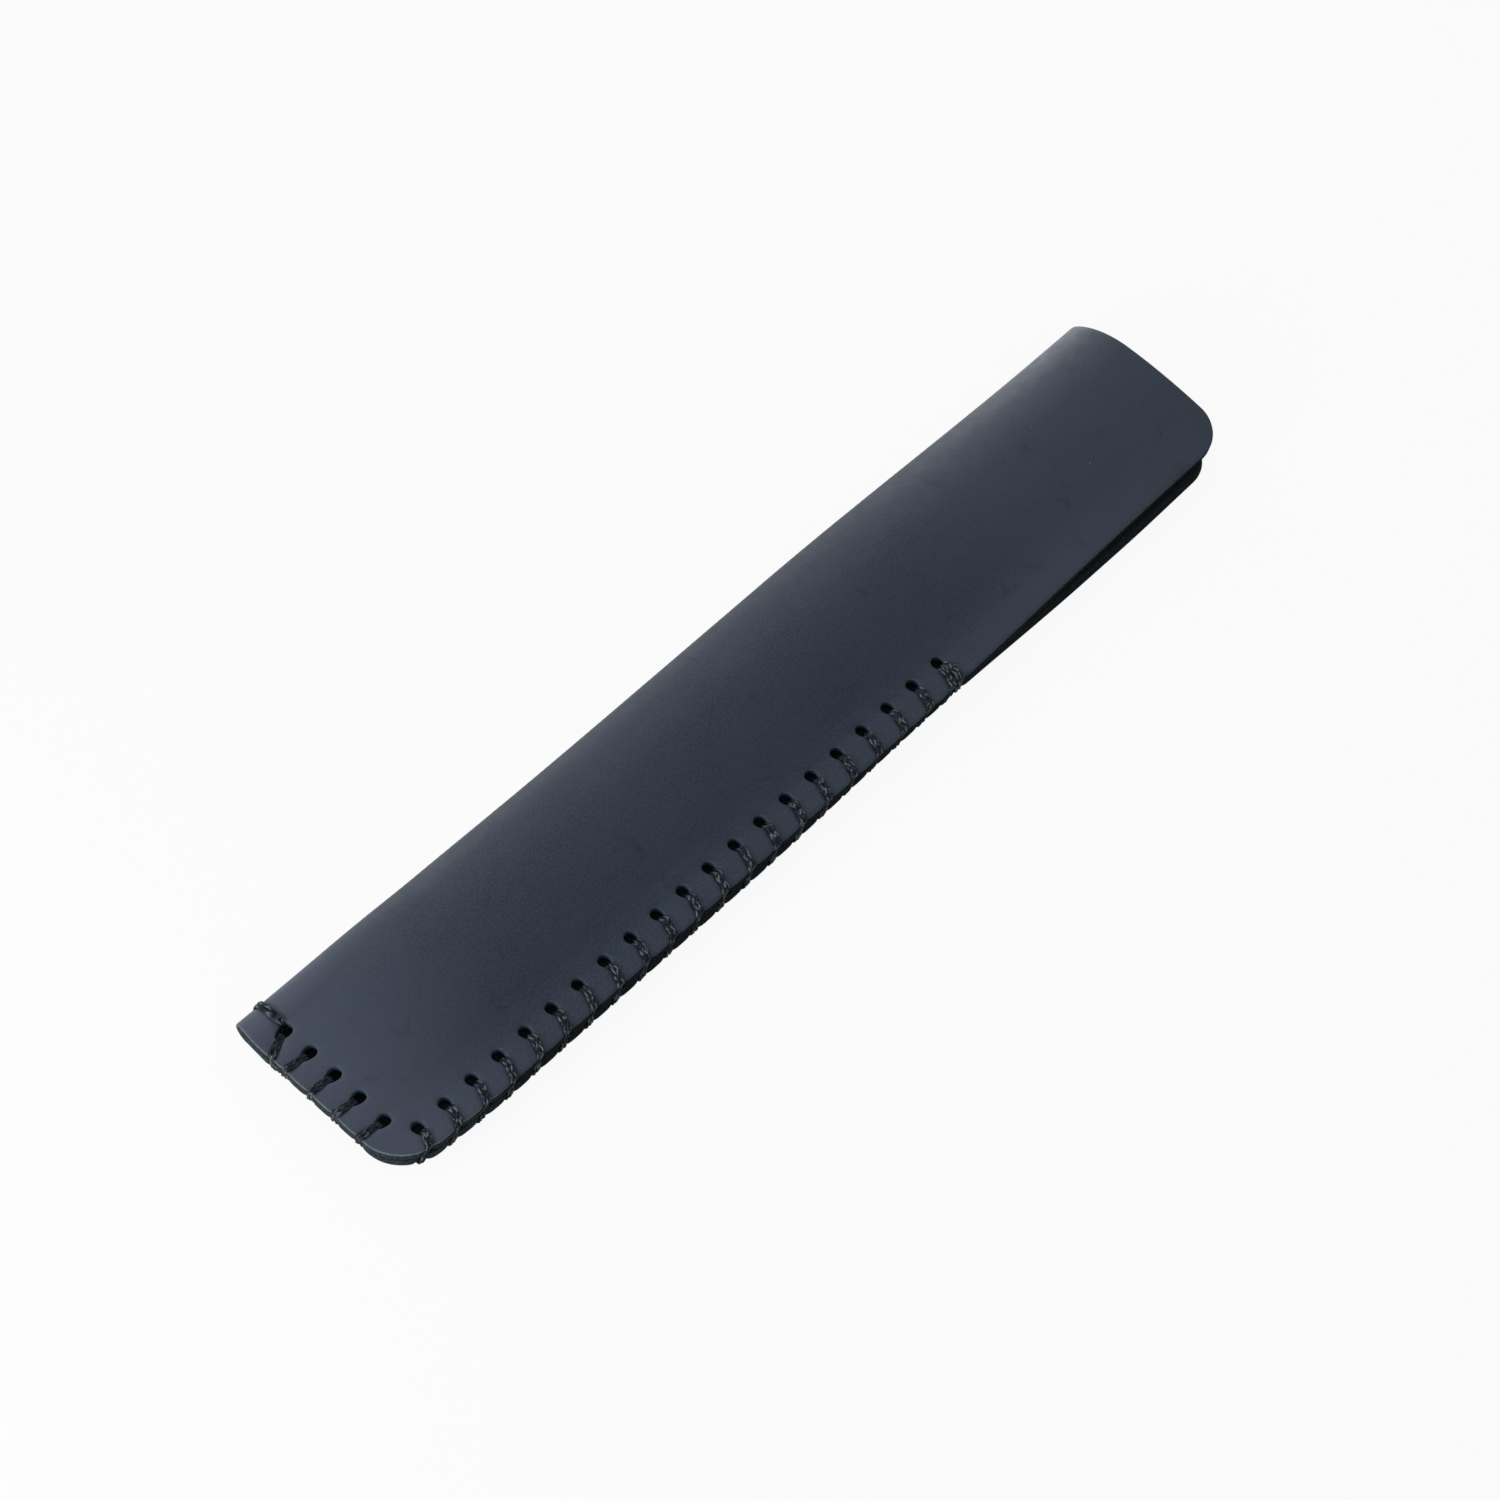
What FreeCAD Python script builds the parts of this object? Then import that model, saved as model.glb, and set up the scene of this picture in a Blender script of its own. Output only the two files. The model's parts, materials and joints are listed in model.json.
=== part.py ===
import FreeCAD, Part
import math
import os
import Sketcher

# A pen sleeve: one leather blank folded along its length and whipstitched along its closed end and its
# open side. It lies on its back layer: +X runs to the mouth, +Y to the fold, -Y to the sewn side, +Z up.
Vector = FreeCAD.Vector
doc = FreeCAD.newDocument("pen_sleeve")
sheet = doc.addObject("Spreadsheet::Sheet", "Sizes")

# Driving sizes in millimetres, degrees and counts
driving = [
    ("sleeve_length", 163.5),
    ("sleeve_width", 31.6),
    ("leather", 1.5),
    ("layer_gap", 0.1),
    ("margin_gap", 0.5),
    ("lip_overlap", 2.3),
    ("bottom_corner", 7.0),
    ("mouth_corner", 5.5),
    ("taper_length", 25.0),
    ("open_fold_radius", 2.2),
    ("pinched_fold_radius", 1.85),
    ("fold_draw", 1.2),
    ("fold_turn", 46.0),
    ("shoulder_radius", 14.5),
    ("seam_margin", 6.0),
    ("rise_width", 11.0),
    ("hole_size", 1.8),
    ("side_pitch", 5.0),
    ("bottom_pitch", 4.85),
    ("side_holes", 21),
    ("bottom_holes", 5),
    ("side_inset", 3.9),
    ("bottom_inset", 3.9),
    ("side_start", 5.85),
    ("bottom_start", 4.75),
    ("thread_size", 0.65),
    ("thread_clear", 0.06),
    ("thread_bend", 0.42),
    ("pass_spread", 1.08),
    ("tail_length", 2.2),
    ("flap_start", 2.2),
    ("flap_reach", 14.8),
    ("flap_lift", 9.5),
    ("flap_draw", 0.9),
    ("flex_height", 0.2),
]

# Places that follow from the driving sizes, first for the whole sleeve
derived = [
    ("half_width", "=sleeve_width / 2"),
    ("closed_x", "=-sleeve_length / 2"),
    ("full_x", "=closed_x + taper_length"),
    ("mouth_x", "=sleeve_length / 2"),
    ("back_mouth_x", "=mouth_x - lip_overlap"),
    ("edge_y", "=-half_width"),
    ("margin_y", "=edge_y + seam_margin"),
    ("rise_y", "=edge_y + rise_width"),
    ("stitch_room", "=thread_size + 2 * thread_clear"),
    ("seam_lift", "=stitch_room / (1 - side_inset / rise_width)"),
    ("end_lift", "=stitch_room / (1 - bottom_inset / taper_length)"),
    ("hole_radius", "=hole_size / 2"),
    ("side_hole_x", "=closed_x + side_start"),
    ("side_hole_y", "=edge_y + side_inset"),
    ("bottom_hole_x", "=closed_x + bottom_inset"),
    ("bottom_hole_y", "=half_width - bottom_start"),
    ("side_span", "=side_pitch * (side_holes - 1)"),
    ("bottom_span", "=bottom_pitch * (bottom_holes - 1)"),
    ("flex_x", "=side_hole_x + side_span + flap_start"),
    ("flex_y", "=half_width - flap_reach"),
    ("end_fold", "=pinched_fold_radius"),
    ("end_shoulder", "=pinched_fold_radius"),
    ("end_base", "=end_lift"),
    ("end_draw", "=0"),
    ("full_fold", "=open_fold_radius"),
    ("full_shoulder", "=shoulder_radius"),
    ("full_base", "=0"),
    ("full_draw", "=fold_draw"),
]

# Then the corners of the cross section at the closed end and where the pocket reaches its full height
for k in ("end", "full"):
    derived += [
        (f"{k}_nose_y", f"=half_width - {k}_draw - {k}_fold"),
        (f"{k}_nose_z", f"={k}_base + {k}_fold"),
        (f"{k}_top", f"={k}_base + leather"),
        (f"{k}_seam_top", "=seam_lift + leather"),
        (f"{k}_seam_under", f"={k}_seam_top + layer_gap"),
        (f"{k}_seam_face", f"={k}_seam_under + leather"),
        (f"{k}_turn_y", f"={k}_nose_y + {k}_fold * cos(fold_turn)"),
        (f"{k}_turn_z", f"={k}_nose_z + {k}_fold * sin(fold_turn)"),
        (f"{k}_inner_turn_y", f"={k}_nose_y + ({k}_fold - leather) * cos(fold_turn)"),
        (f"{k}_inner_turn_z", f"={k}_nose_z + ({k}_fold - leather) * sin(fold_turn)"),
        (f"{k}_crown_y", f"={k}_nose_y + ({k}_fold - {k}_shoulder) * cos(fold_turn)"),
        (f"{k}_arch_z", f"={k}_nose_z + ({k}_fold - {k}_shoulder) * sin(fold_turn)"),
        (f"{k}_crown_z", f"={k}_arch_z + {k}_shoulder"),
        (f"{k}_crown_under", f"={k}_crown_z - leather"),
        (f"{k}_slope", f"=(seam_lift - {k}_base) * (rise_y - margin_y) / rise_width"),
        (f"{k}_margin_z", f"={k}_top + {k}_slope + margin_gap + leather"),
        (f"{k}_margin_under", f"={k}_margin_z - leather"),
        (f"{k}_fall", f"=({k}_crown_z - {k}_margin_z) / ({k}_crown_y - margin_y)"),
        (f"{k}_inner_y", f"=margin_y + leather * {k}_fall"),
        (f"{k}_front", f"=({k}_crown_y - margin_y) * ({k}_fall + 1 / {k}_fall) / 2"),
    ]

# And the heights of the line where the unsewn corner bends, just above the front layer at both ends
derived += [
    ("flex_arch", "=sqrt(full_front ^ 2 - (full_crown_y - flex_y) ^ 2)"),
    ("flex_low_z", "=full_seam_face + flex_height"),
    ("flex_high_z", "=full_crown_z - full_front + flex_arch + flex_height"),
]

for row, (name, value) in enumerate(driving + derived, start=1):
    sheet.set(f"A{row}", name)
    sheet.set(f"B{row}", str(value))
    sheet.setAlias(f"B{row}", name)
doc.recompute()


def size(name):
    """The number that a cell of the sheet holds."""
    return float(sheet.get(name))


def number(formula):
    return float(sheet.evalExpression(formula))


def origin_item(body, role):
    return next(item for item in body.Origin.OriginFeatures if item.Role == role)


def outline(body, name, plane, offset, corners, bends=()):
    """A closed sketch through corners, pairs of formulas. bends gives a side's radius and rough centre."""
    sketch = body.newObject("Sketcher::SketchObject", name)
    sketch.AttachmentSupport = [(origin_item(body, plane), "")]
    sketch.MapMode = "FlatFace"
    if offset:
        sketch.setExpression("AttachmentOffset.Base.z", offset)
    bends = dict(bends)
    at = [Vector(number(a), number(b), 0) for a, b in corners]
    ends = []
    for i, start in enumerate(at):
        stop = at[(i + 1) % len(at)]
        if i in bends:
            radius, centre = bends[i]
            middle = Vector(number(centre[0]), number(centre[1]), 0)
            outward = ((start + stop) / 2 - middle).normalize()
            side = Part.ArcOfCircle(start, middle + outward * number(radius), stop)
        else:
            side = Part.LineSegment(start, stop)
        sketch.addGeometry(side)
        forward = (sketch.getPoint(i, 1) - start).Length < (sketch.getPoint(i, 2) - start).Length
        ends.append((1, 2) if forward else (2, 1))
    for i in range(len(at)):
        after = (i + 1) % len(at)
        sketch.addConstraint(Sketcher.Constraint("Coincident", i, ends[i][1], after, ends[after][0]))
    for i, pair in enumerate(corners):
        for kind, formula in zip(("DistanceX", "DistanceY"), pair):
            rule = Sketcher.Constraint(kind, -1, 1, i, ends[i][0], number(formula))
            sketch.setExpression(f"Constraints[{sketch.addConstraint(rule)}]", formula)
    for i, (radius, centre) in bends.items():
        rule = Sketcher.Constraint("Radius", i, number(radius))
        sketch.setExpression(f"Constraints[{sketch.addConstraint(rule)}]", radius)
    return sketch


def leather_body(label, section, last_x):
    """A body with one cross section from its full height to last_x, tapered down to the closed end."""
    body = doc.addObject("PartDesign::Body", label)
    body.Label = label
    full = section(body, "full")
    run = body.newObject("PartDesign::Pad", f"{label}_run")
    run.Profile = full
    run.setExpression("Length", f"{last_x} - Sizes.full_x")
    end = section(body, "end")
    taper = body.newObject("PartDesign::AdditiveLoft", f"{label}_taper")
    taper.Profile = full
    taper.Sections = [end]
    taper.Ruled = True
    body.Tip = taper
    doc.recompute()
    return body


def cut(body, name, sketch, upward):
    """A pocket through the whole body from the sketch's plane, and the volume that it took away."""
    before = body.Shape.Volume
    pocket = body.newObject("PartDesign::Pocket", name)
    pocket.Profile = sketch
    pocket.Type = 1
    pocket.Reversed = upward
    body.Tip = pocket
    doc.recompute()
    if before - body.Shape.Volume < size("thread_clear") ** 3:
        raise ValueError(f"{name} cuts nothing")
    return pocket


def round_corner(body, name, x, y, radius, inward_x, reach):
    """Rounds the corner of the plan at x, y on the sewn side. inward_x is + or - towards the middle."""
    far, near = f"{x} {inward_x} {radius}", f"{y} + {radius}"
    out_x, out_y = f"{x} - ({inward_x} {reach})", f"{y} - {reach}"
    corners = [(out_x, out_y), (far, out_y), (far, y), (x, near), (out_x, near)]
    sketch = outline(body, f"{name}_plan", "XY_Plane", "", corners, {2: (radius, (far, near))})
    return cut(body, name, sketch, True)


def hole_row(body, name, x, y, axis, reverse, span, count):
    """A round hole through the leather, repeated along an axis."""
    sketch = body.newObject("Sketcher::SketchObject", f"{name}_plan")
    sketch.AttachmentSupport = [(origin_item(body, "XY_Plane"), "")]
    sketch.MapMode = "FlatFace"
    sketch.addGeometry(Part.Circle(Vector(number(x), number(y), 0), Vector(0, 0, 1), size("hole_radius")))
    rules = [
        (Sketcher.Constraint("DistanceX", -1, 1, 0, 3, number(x)), x),
        (Sketcher.Constraint("DistanceY", -1, 1, 0, 3, number(y)), y),
        (Sketcher.Constraint("Radius", 0, size("hole_radius")), "Sizes.hole_radius"),
    ]
    for rule, formula in rules:
        sketch.setExpression(f"Constraints[{sketch.addConstraint(rule)}]", formula)
    pocket = cut(body, name, sketch, True)
    row = body.newObject("PartDesign::LinearPattern", f"{name}_row")
    row.Originals = [pocket]
    row.Direction = (origin_item(body, axis), [""])
    row.Reversed = reverse
    row.setExpression("Length", span)
    row.setExpression("Occurrences", count)
    body.Tip = row
    doc.recompute()


def seam_holes(body, label):
    hole_row(body, f"{label}_side_hole", "Sizes.side_hole_x", "Sizes.side_hole_y", "X_Axis", False,
             "Sizes.side_span", "Sizes.side_holes")
    hole_row(body, f"{label}_bottom_hole", "Sizes.bottom_hole_x", "Sizes.bottom_hole_y", "Y_Axis", True,
             "Sizes.bottom_span", "Sizes.bottom_holes")


# Cross sections on planes across the sleeve, one at the closed end and one at the full height
station = {"end": "Sizes.closed_x", "full": "Sizes.full_x"}


def back_section(body, k):
    s = f"Sizes.{k}_"
    corners = [
        (s + "nose_y", s + "base"),
        ("Sizes.rise_y", s + "base"),
        ("Sizes.edge_y", "Sizes.seam_lift"),
        ("Sizes.edge_y", s + "seam_top"),
        ("Sizes.rise_y", s + "top"),
        (s + "nose_y", s + "top"),
    ]
    return outline(body, f"back_{k}", "YZ_Plane", station[k], corners)


def fold_section(body, k):
    s = f"Sizes.{k}_"
    corners = [
        (s + "nose_y", s + "base"),
        (s + "turn_y", s + "turn_z"),
        (s + "crown_y", s + "crown_z"),
        (s + "crown_y", s + "crown_under"),
        (s + "inner_turn_y", s + "inner_turn_z"),
        (s + "nose_y", s + "top"),
    ]
    nose, arch = (s + "nose_y", s + "nose_z"), (s + "crown_y", s + "arch_z")
    bends = {
        0: (s + "fold", nose),
        1: (s + "shoulder", arch),
        3: (s + "shoulder - Sizes.leather", arch),
        4: (s + "fold - Sizes.leather", nose),
    }
    return outline(body, f"fold_{k}", "YZ_Plane", station[k], corners, bends)


def front_section(body, k):
    s = f"Sizes.{k}_"
    corners = [
        (s + "crown_y", s + "crown_z"),
        ("Sizes.margin_y", s + "margin_z"),
        ("Sizes.edge_y", s + "seam_face"),
        ("Sizes.edge_y", s + "seam_under"),
        (s + "inner_y", s + "margin_under"),
        (s + "crown_y", s + "crown_under"),
    ]
    centre = (s + "crown_y", f"{s}crown_z - {s}front")
    bends = {0: (s + "front", centre), 4: (s + "front - Sizes.leather", centre)}
    return outline(body, f"front_{k}", "YZ_Plane", station[k], corners, bends)


# The back layer, flat where it lies on the table and lifted along the seam by the stitches under it
back = leather_body("back_panel", back_section, "Sizes.back_mouth_x")
back_blank = back.Shape.copy()
round_corner(back, "back_bottom_corner", "Sizes.closed_x", "Sizes.edge_y", "Sizes.bottom_corner", "+",
             "Sizes.leather")
round_corner(back, "back_mouth_corner", "Sizes.back_mouth_x", "Sizes.edge_y", "Sizes.mouth_corner", "-",
             "Sizes.leather")
seam_holes(back, "back")

# The rolled fold, whose end slants from the shorter back lip to the longer front lip
fold = leather_body("fold_spine", fold_section, "Sizes.mouth_x")
fold_blank = fold.Shape.copy()
lip = [
    ("Sizes.back_mouth_x", "Sizes.full_base"),
    ("Sizes.mouth_x + Sizes.leather", "Sizes.full_base"),
    ("Sizes.mouth_x + Sizes.leather", "Sizes.full_crown_z"),
    ("Sizes.mouth_x", "Sizes.full_crown_z"),
]
cut(fold, "fold_lip", outline(fold, "fold_lip_side", "XZ_Plane", "", lip), False)

# The flex line of the front layer, from the end of the seam to the mouth, run on past both edges
flex_run_share = 0.1
run_x = f"{flex_run_share} * (Sizes.mouth_x - Sizes.flex_x)"
run_y = f"{flex_run_share} * (Sizes.flex_y - Sizes.edge_y)"
flex_low = (f"Sizes.flex_x - {run_x}", f"Sizes.edge_y - {run_y}")
flex_high = (f"Sizes.mouth_x + {run_x}", f"Sizes.flex_y + {run_y}")

# The front layer up to the flex line
front = leather_body("front_panel", front_section, "Sizes.mouth_x")
front_blank = front.Shape.copy()
lip_side = [flex_low, (flex_high[0], flex_low[1]), flex_high]
cut(front, "front_flex", outline(front, "front_flex_plan", "XY_Plane", "", lip_side), True)
round_corner(front, "front_bottom_corner", "Sizes.closed_x", "Sizes.edge_y", "Sizes.bottom_corner", "+",
             "Sizes.leather")
seam_holes(front, "front")

# The unsewn corner of the front layer, lifted about the flex line
flap = doc.addObject("PartDesign::Body", "mouth_flap")
flap.Label = "mouth_flap"
flap_run = flap.newObject("PartDesign::Pad", "flap_run")
flap_run.Profile = front_section(flap, "full")
flap_run.setExpression("Length", "Sizes.mouth_x - Sizes.full_x")
flap.Tip = flap_run
doc.recompute()
past_crown = "Sizes.full_crown_y + Sizes.leather"
past_taper = "Sizes.full_x - Sizes.leather"
sewn_side = [
    flex_low,
    flex_high,
    (flex_high[0], past_crown),
    (past_taper, past_crown),
    (past_taper, flex_low[1]),
]
cut(flap, "flap_flex", outline(flap, "flap_flex_plan", "XY_Plane", "", sewn_side), True)
drawn_y = "Sizes.edge_y + Sizes.flap_draw"
past_y = f"{drawn_y} + {flex_run_share} * Sizes.flap_draw"
beyond_y = "Sizes.edge_y - Sizes.leather"
free_edge = [
    ("Sizes.flex_x", "Sizes.edge_y"),
    (flex_high[0], past_y),
    (flex_high[0], beyond_y),
    ("Sizes.flex_x", beyond_y),
]
cut(flap, "flap_free_edge", outline(flap, "flap_free_edge_plan", "XY_Plane", "", free_edge), True)
round_corner(flap, "flap_mouth_corner", "Sizes.mouth_x", drawn_y, "Sizes.mouth_corner", "-",
             "Sizes.leather")
flex_from = Vector(size("flex_x"), size("edge_y"), size("flex_low_z"))
flex_to = Vector(size("mouth_x"), size("flex_y"), size("flex_high_z"))
flex_axis = (flex_from - flex_to).normalize()
flap.Placement = FreeCAD.Placement(
    Vector(0, 0, 0), FreeCAD.Rotation(flex_axis, size("flap_lift")), flex_from
)
print("flex line from", [round(v, 3) for v in flex_from], "axis", [round(v, 5) for v in flex_axis])


def heights(blank, x, y):
    """The lowest and highest leather of a blank on the upright line through x, y."""
    line = Part.makeLine(Vector(x, y, -size("sleeve_width")), Vector(x, y, size("sleeve_width")))
    zs = [v.Z for v in blank.common(line).Vertexes]
    return min(zs), max(zs)


# The thread's route, as corners with a bend radius each: out of a front hole, over the edge and under
# the back layer to the next hole towards the closed end
radius = size("thread_size") / 2
off = radius + size("thread_clear")
bend = size("thread_bend")
apart = size("pass_spread") / 2
edge_shares = {"side": (0.1, 0.4), "bottom": (0.0, 0.1)}
last_edge_shares = (0.3, 0.3)
guide_share = 0.45
fold_hug_share = 0.6
probe = size("thread_clear")
thread_sides = 6

side = [Vector(size("side_hole_x") + i * size("side_pitch"), size("side_hole_y"), 0)
        for i in range(int(size("side_holes")))]
bottom = [Vector(size("bottom_hole_x"), size("bottom_hole_y") - i * size("bottom_pitch"), 0)
          for i in range(int(size("bottom_holes")))]
holes = [(p, "side") for p in side[::-1]] + [(p, "bottom") for p in bottom[::-1]]


def over(x, y):
    """The thread's height on top of the leather."""
    blank = front_blank if y < fold_line(x) else fold_blank
    return heights(blank, x, y)[1] + off


def under(x, y):
    """The thread's height below the leather."""
    return heights(back_blank, x, y)[0] - off


def fold_line(x):
    """Where the fold piece meets the front layer near the closed end."""
    part = (x - size("closed_x")) / size("taper_length")
    return size("end_crown_y") + min(part, 1) * (size("full_crown_y") - size("end_crown_y"))


def edge(p, where):
    """The point of the plan's outline beside p on the sewn side or the closed end, and the way out."""
    r = size("bottom_corner")
    centre = Vector(size("closed_x") + r, size("edge_y") + r, 0)
    round_x, round_y = min(p.x - centre.x, 0), min(p.y - centre.y, 0)
    if where == "side":
        way = Vector(round_x, -math.sqrt(r * r - round_x ** 2), 0)
        return Vector(p.x, centre.y + way.y, 0), way.normalize()
    way = Vector(-math.sqrt(r * r - round_y ** 2), round_y, 0)
    return Vector(centre.x + way.x, p.y, 0), way.normalize()


def round_edge(route, start, stop, where, shares):
    """Adds the two corners where the thread passes over the edge, at two shares of the way to stop."""
    for share, level in zip(shares, (over, under)):
        at, out = edge(start + (stop - start) * share, where)
        inside = at - out * probe
        route.append((Vector(at.x, at.y, level(inside.x, inside.y)) + out * off, bend))


def through(route, at):
    """Adds the two corners where the thread comes up through a hole."""
    for level in (under, over):
        route.append((Vector(at.x, at.y, level(at.x, at.y)), bend))


along_x, along_y = Vector(1, 0, 0), Vector(0, 1, 0)
first_hole = holes[0][0]
first_a, first_b = first_hole + along_x * apart, first_hole - along_x * apart
tail_z = heights(front_blank, first_a.x, first_a.y)
route = [(Vector(first_a.x, first_a.y, sum(tail_z) / 2), 0)]
route.append((Vector(first_a.x, first_a.y, over(first_a.x, first_a.y)), bend))
round_edge(route, first_a, first_b, "side", edge_shares["side"])
through(route, first_b)
here = first_b
for i in range(1, len(holes)):
    target, where = holes[i][0], holes[i - 1][1]
    is_last, is_corner = i == len(holes) - 1, holes[i][1] != where
    if is_last:
        target = target + along_x * apart
    towards = here - along_x * size("side_pitch") if is_corner else target
    round_edge(route, here, towards, where, edge_shares[where])
    if is_last:
        guide = target - along_y * (guide_share * size("bottom_pitch"))
        route.append((Vector(guide.x, guide.y, under(guide.x, guide.y)), bend))
    through(route, target)
    here = target

# Round the fold at the last hole, once more over the closed end, and off under the back layer
last_hole = holes[-1][0]
last_b = last_hole - along_x * apart
fold_y = size("half_width") + off
fold_top = over(here.x, here.y)
fold_under = heights(fold_blank, last_b.x, size("end_nose_y"))[0] - off
hug = fold_hug_share * (fold_top - fold_under) / 2
route.append((Vector(here.x, fold_y, fold_top), hug))
route.append((Vector(last_b.x - apart, fold_y, fold_under), hug))
through(route, last_b)
tail_to = last_b - along_y * size("bottom_pitch")
round_edge(route, last_b, tail_to, "bottom", last_edge_shares)
tail = Vector(size("closed_x") + size("tail_length"), route[-1][0].y, 0)
route.append((Vector(tail.x, tail.y, under(tail.x, tail.y)), 0))


def bent_line(route):
    """Points of the route with each corner eased onto an arc that touches both runs."""
    points = [route[0][0]]
    for before, (corner, r), after in zip(route, route[1:], route[2:]):
        back_way, on_way = (before[0] - corner).normalize(), (after[0] - corner).normalize()
        half = back_way.getAngle(on_way) / 2
        reach = r / math.tan(half)
        middle = (back_way + on_way).normalize()
        enter, leave = corner + back_way * reach, corner + on_way * reach
        top = corner + middle * (r / math.sin(half) - r)
        if (enter - points[-1]).dot(corner - points[-1]) < 0 or reach > (after[0] - corner).Length:
            raise ValueError(f"a bend of the thread has no room at {corner}")
        points += [enter, top, leave]
    return points + [route[-1][0]]


path = Part.makePolygon(bent_line(route))
start = route[0][0]
way = (route[1][0] - start).normalize()
turns = [FreeCAD.Rotation(way, i * 360 / thread_sides) for i in range(thread_sides + 1)]
ring = Part.makePolygon([start + turn.multVec(along_x * radius) for turn in turns])
mitred = 1
tube = path.makePipeShell([ring], True, False, mitred)
thread = doc.addObject("Part::Feature", "whipstitch_thread")
thread.Label = "whipstitch_thread"
thread.Shape = tube
thread.Placement = FreeCAD.Placement()
expected = Part.Face(ring).Area * path.Length
print(f"thread {path.Length:.1f} long, volume {tube.Volume:.2f} of {expected:.2f} expected")

# The least gap of the thread to itself, from each point along its middle to the next stitches' points
step = radius / 2
points = path.discretize(Distance=step)
near = math.ceil(math.pi * size("thread_size") / step)
stitches_on = 3
far = math.ceil(stitches_on * len(points) / len(holes))
gap = min(
    (points[i] - points[j]).Length
    for i in range(len(points))
    for j in range(i + near, min(i + far, len(points)))
) - size("thread_size")
print(f"least gap of the thread to itself {gap:.2f}")

doc.recompute()
for item in doc.Objects:
    if "Invalid" in item.State or "Error" in item.State:
        raise ValueError(f"{item.Label} is {item.State}")

os.makedirs("parts", exist_ok=True)
for piece in (back, fold, front, flap, thread):
    shape = piece.Shape
    if shape.isNull() or not shape.isValid() or len(shape.Solids) != 1:
        raise ValueError(f"{piece.Label} isn't one valid solid")
    shape.exportStep(f"parts/{piece.Label}.step")
    box = shape.BoundBox
    print(f"{piece.Label}: {shape.Volume:.1f} mm3, x {box.XMin:.2f} {box.XMax:.2f}, "
          f"y {box.YMin:.2f} {box.YMax:.2f}, z {box.ZMin:.2f} {box.ZMax:.2f}")
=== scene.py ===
# %% [markdown]
# # A whipstitched leather pen sleeve
# The real sleeve is one leather blank. It is cut and punched flat, folded along its length and sewn over
# the edge with one waxed thread, along the closed end and most of the open side. This lesson makes it in
# the same order: it draws the blank flat, punches it, folds it and then sews it.
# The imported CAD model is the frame. Nothing here moves it: the new meshes lie where its solids are.

# %% Load the frame
import json
import math

import bpy
import numpy as np
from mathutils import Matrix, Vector, geometry


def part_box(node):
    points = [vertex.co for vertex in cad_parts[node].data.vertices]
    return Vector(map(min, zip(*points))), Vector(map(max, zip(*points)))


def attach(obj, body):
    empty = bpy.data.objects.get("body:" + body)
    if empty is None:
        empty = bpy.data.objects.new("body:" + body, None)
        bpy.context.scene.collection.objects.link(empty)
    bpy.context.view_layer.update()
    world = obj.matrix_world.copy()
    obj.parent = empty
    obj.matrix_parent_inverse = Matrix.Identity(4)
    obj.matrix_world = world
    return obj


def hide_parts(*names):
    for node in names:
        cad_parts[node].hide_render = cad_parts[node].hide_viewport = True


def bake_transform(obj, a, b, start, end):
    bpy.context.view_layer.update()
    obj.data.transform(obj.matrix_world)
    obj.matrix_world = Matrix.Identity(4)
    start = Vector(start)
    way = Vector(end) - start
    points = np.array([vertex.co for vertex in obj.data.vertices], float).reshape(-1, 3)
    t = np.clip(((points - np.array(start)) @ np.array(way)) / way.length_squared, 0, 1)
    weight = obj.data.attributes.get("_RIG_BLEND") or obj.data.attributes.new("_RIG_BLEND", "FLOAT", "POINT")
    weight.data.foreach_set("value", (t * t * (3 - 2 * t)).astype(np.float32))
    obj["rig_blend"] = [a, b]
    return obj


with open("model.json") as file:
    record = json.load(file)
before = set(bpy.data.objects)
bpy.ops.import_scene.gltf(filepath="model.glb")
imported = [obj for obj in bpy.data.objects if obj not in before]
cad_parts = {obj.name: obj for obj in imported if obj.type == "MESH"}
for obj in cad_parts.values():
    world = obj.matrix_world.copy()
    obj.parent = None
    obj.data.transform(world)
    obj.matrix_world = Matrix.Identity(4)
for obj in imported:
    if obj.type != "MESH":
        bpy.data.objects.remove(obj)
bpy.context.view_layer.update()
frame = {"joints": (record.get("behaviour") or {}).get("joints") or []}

MM = 0.001
scene = bpy.context.scene


def place_in_scene(name, data):
    """A new object of the scene that carries a mesh, a lamp or a camera."""
    made = bpy.data.objects.new(name, data)
    scene.collection.objects.link(made)
    return made


# %% [markdown]
# ## Camera
# The camera stands where the photograph was taken: seen from the closed end, well above the table. The
# lens is long, so the far end is hardly smaller than the near one. A camera fitted by eye would do for a
# plain view, but here the direction comes from the even spacing of the punched holes.

# %% Camera at the photograph's viewing angle
image_px = 1500
focal_px = 4549
sensor_width, near_clip = 36, 0.01
view_azimuth, view_elevation = math.radians(-45.85), math.radians(57.88)
view_distance = 630.6 * MM
view_target = Vector((-1.25 * MM, 0, 0))
view_shift_px = (3.26, -7.57)

towards_camera = Vector((
    math.sin(view_azimuth) * math.cos(view_elevation),
    -math.cos(view_azimuth) * math.cos(view_elevation),
    math.sin(view_elevation),
))
camera_data = bpy.data.cameras.new("photo_camera")
camera_data.sensor_width = sensor_width
camera_data.lens = sensor_width * focal_px / image_px
camera_data.shift_x, camera_data.shift_y = (shift / image_px for shift in view_shift_px)
camera_data.clip_start = near_clip
camera = place_in_scene("photo_camera", camera_data)
camera.location = view_target + towards_camera * view_distance
camera.rotation_euler = towards_camera.to_track_quat("Z", "Y").to_euler()
scene.camera = camera
print(f"camera lens {camera_data.lens:.1f} mm")

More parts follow.
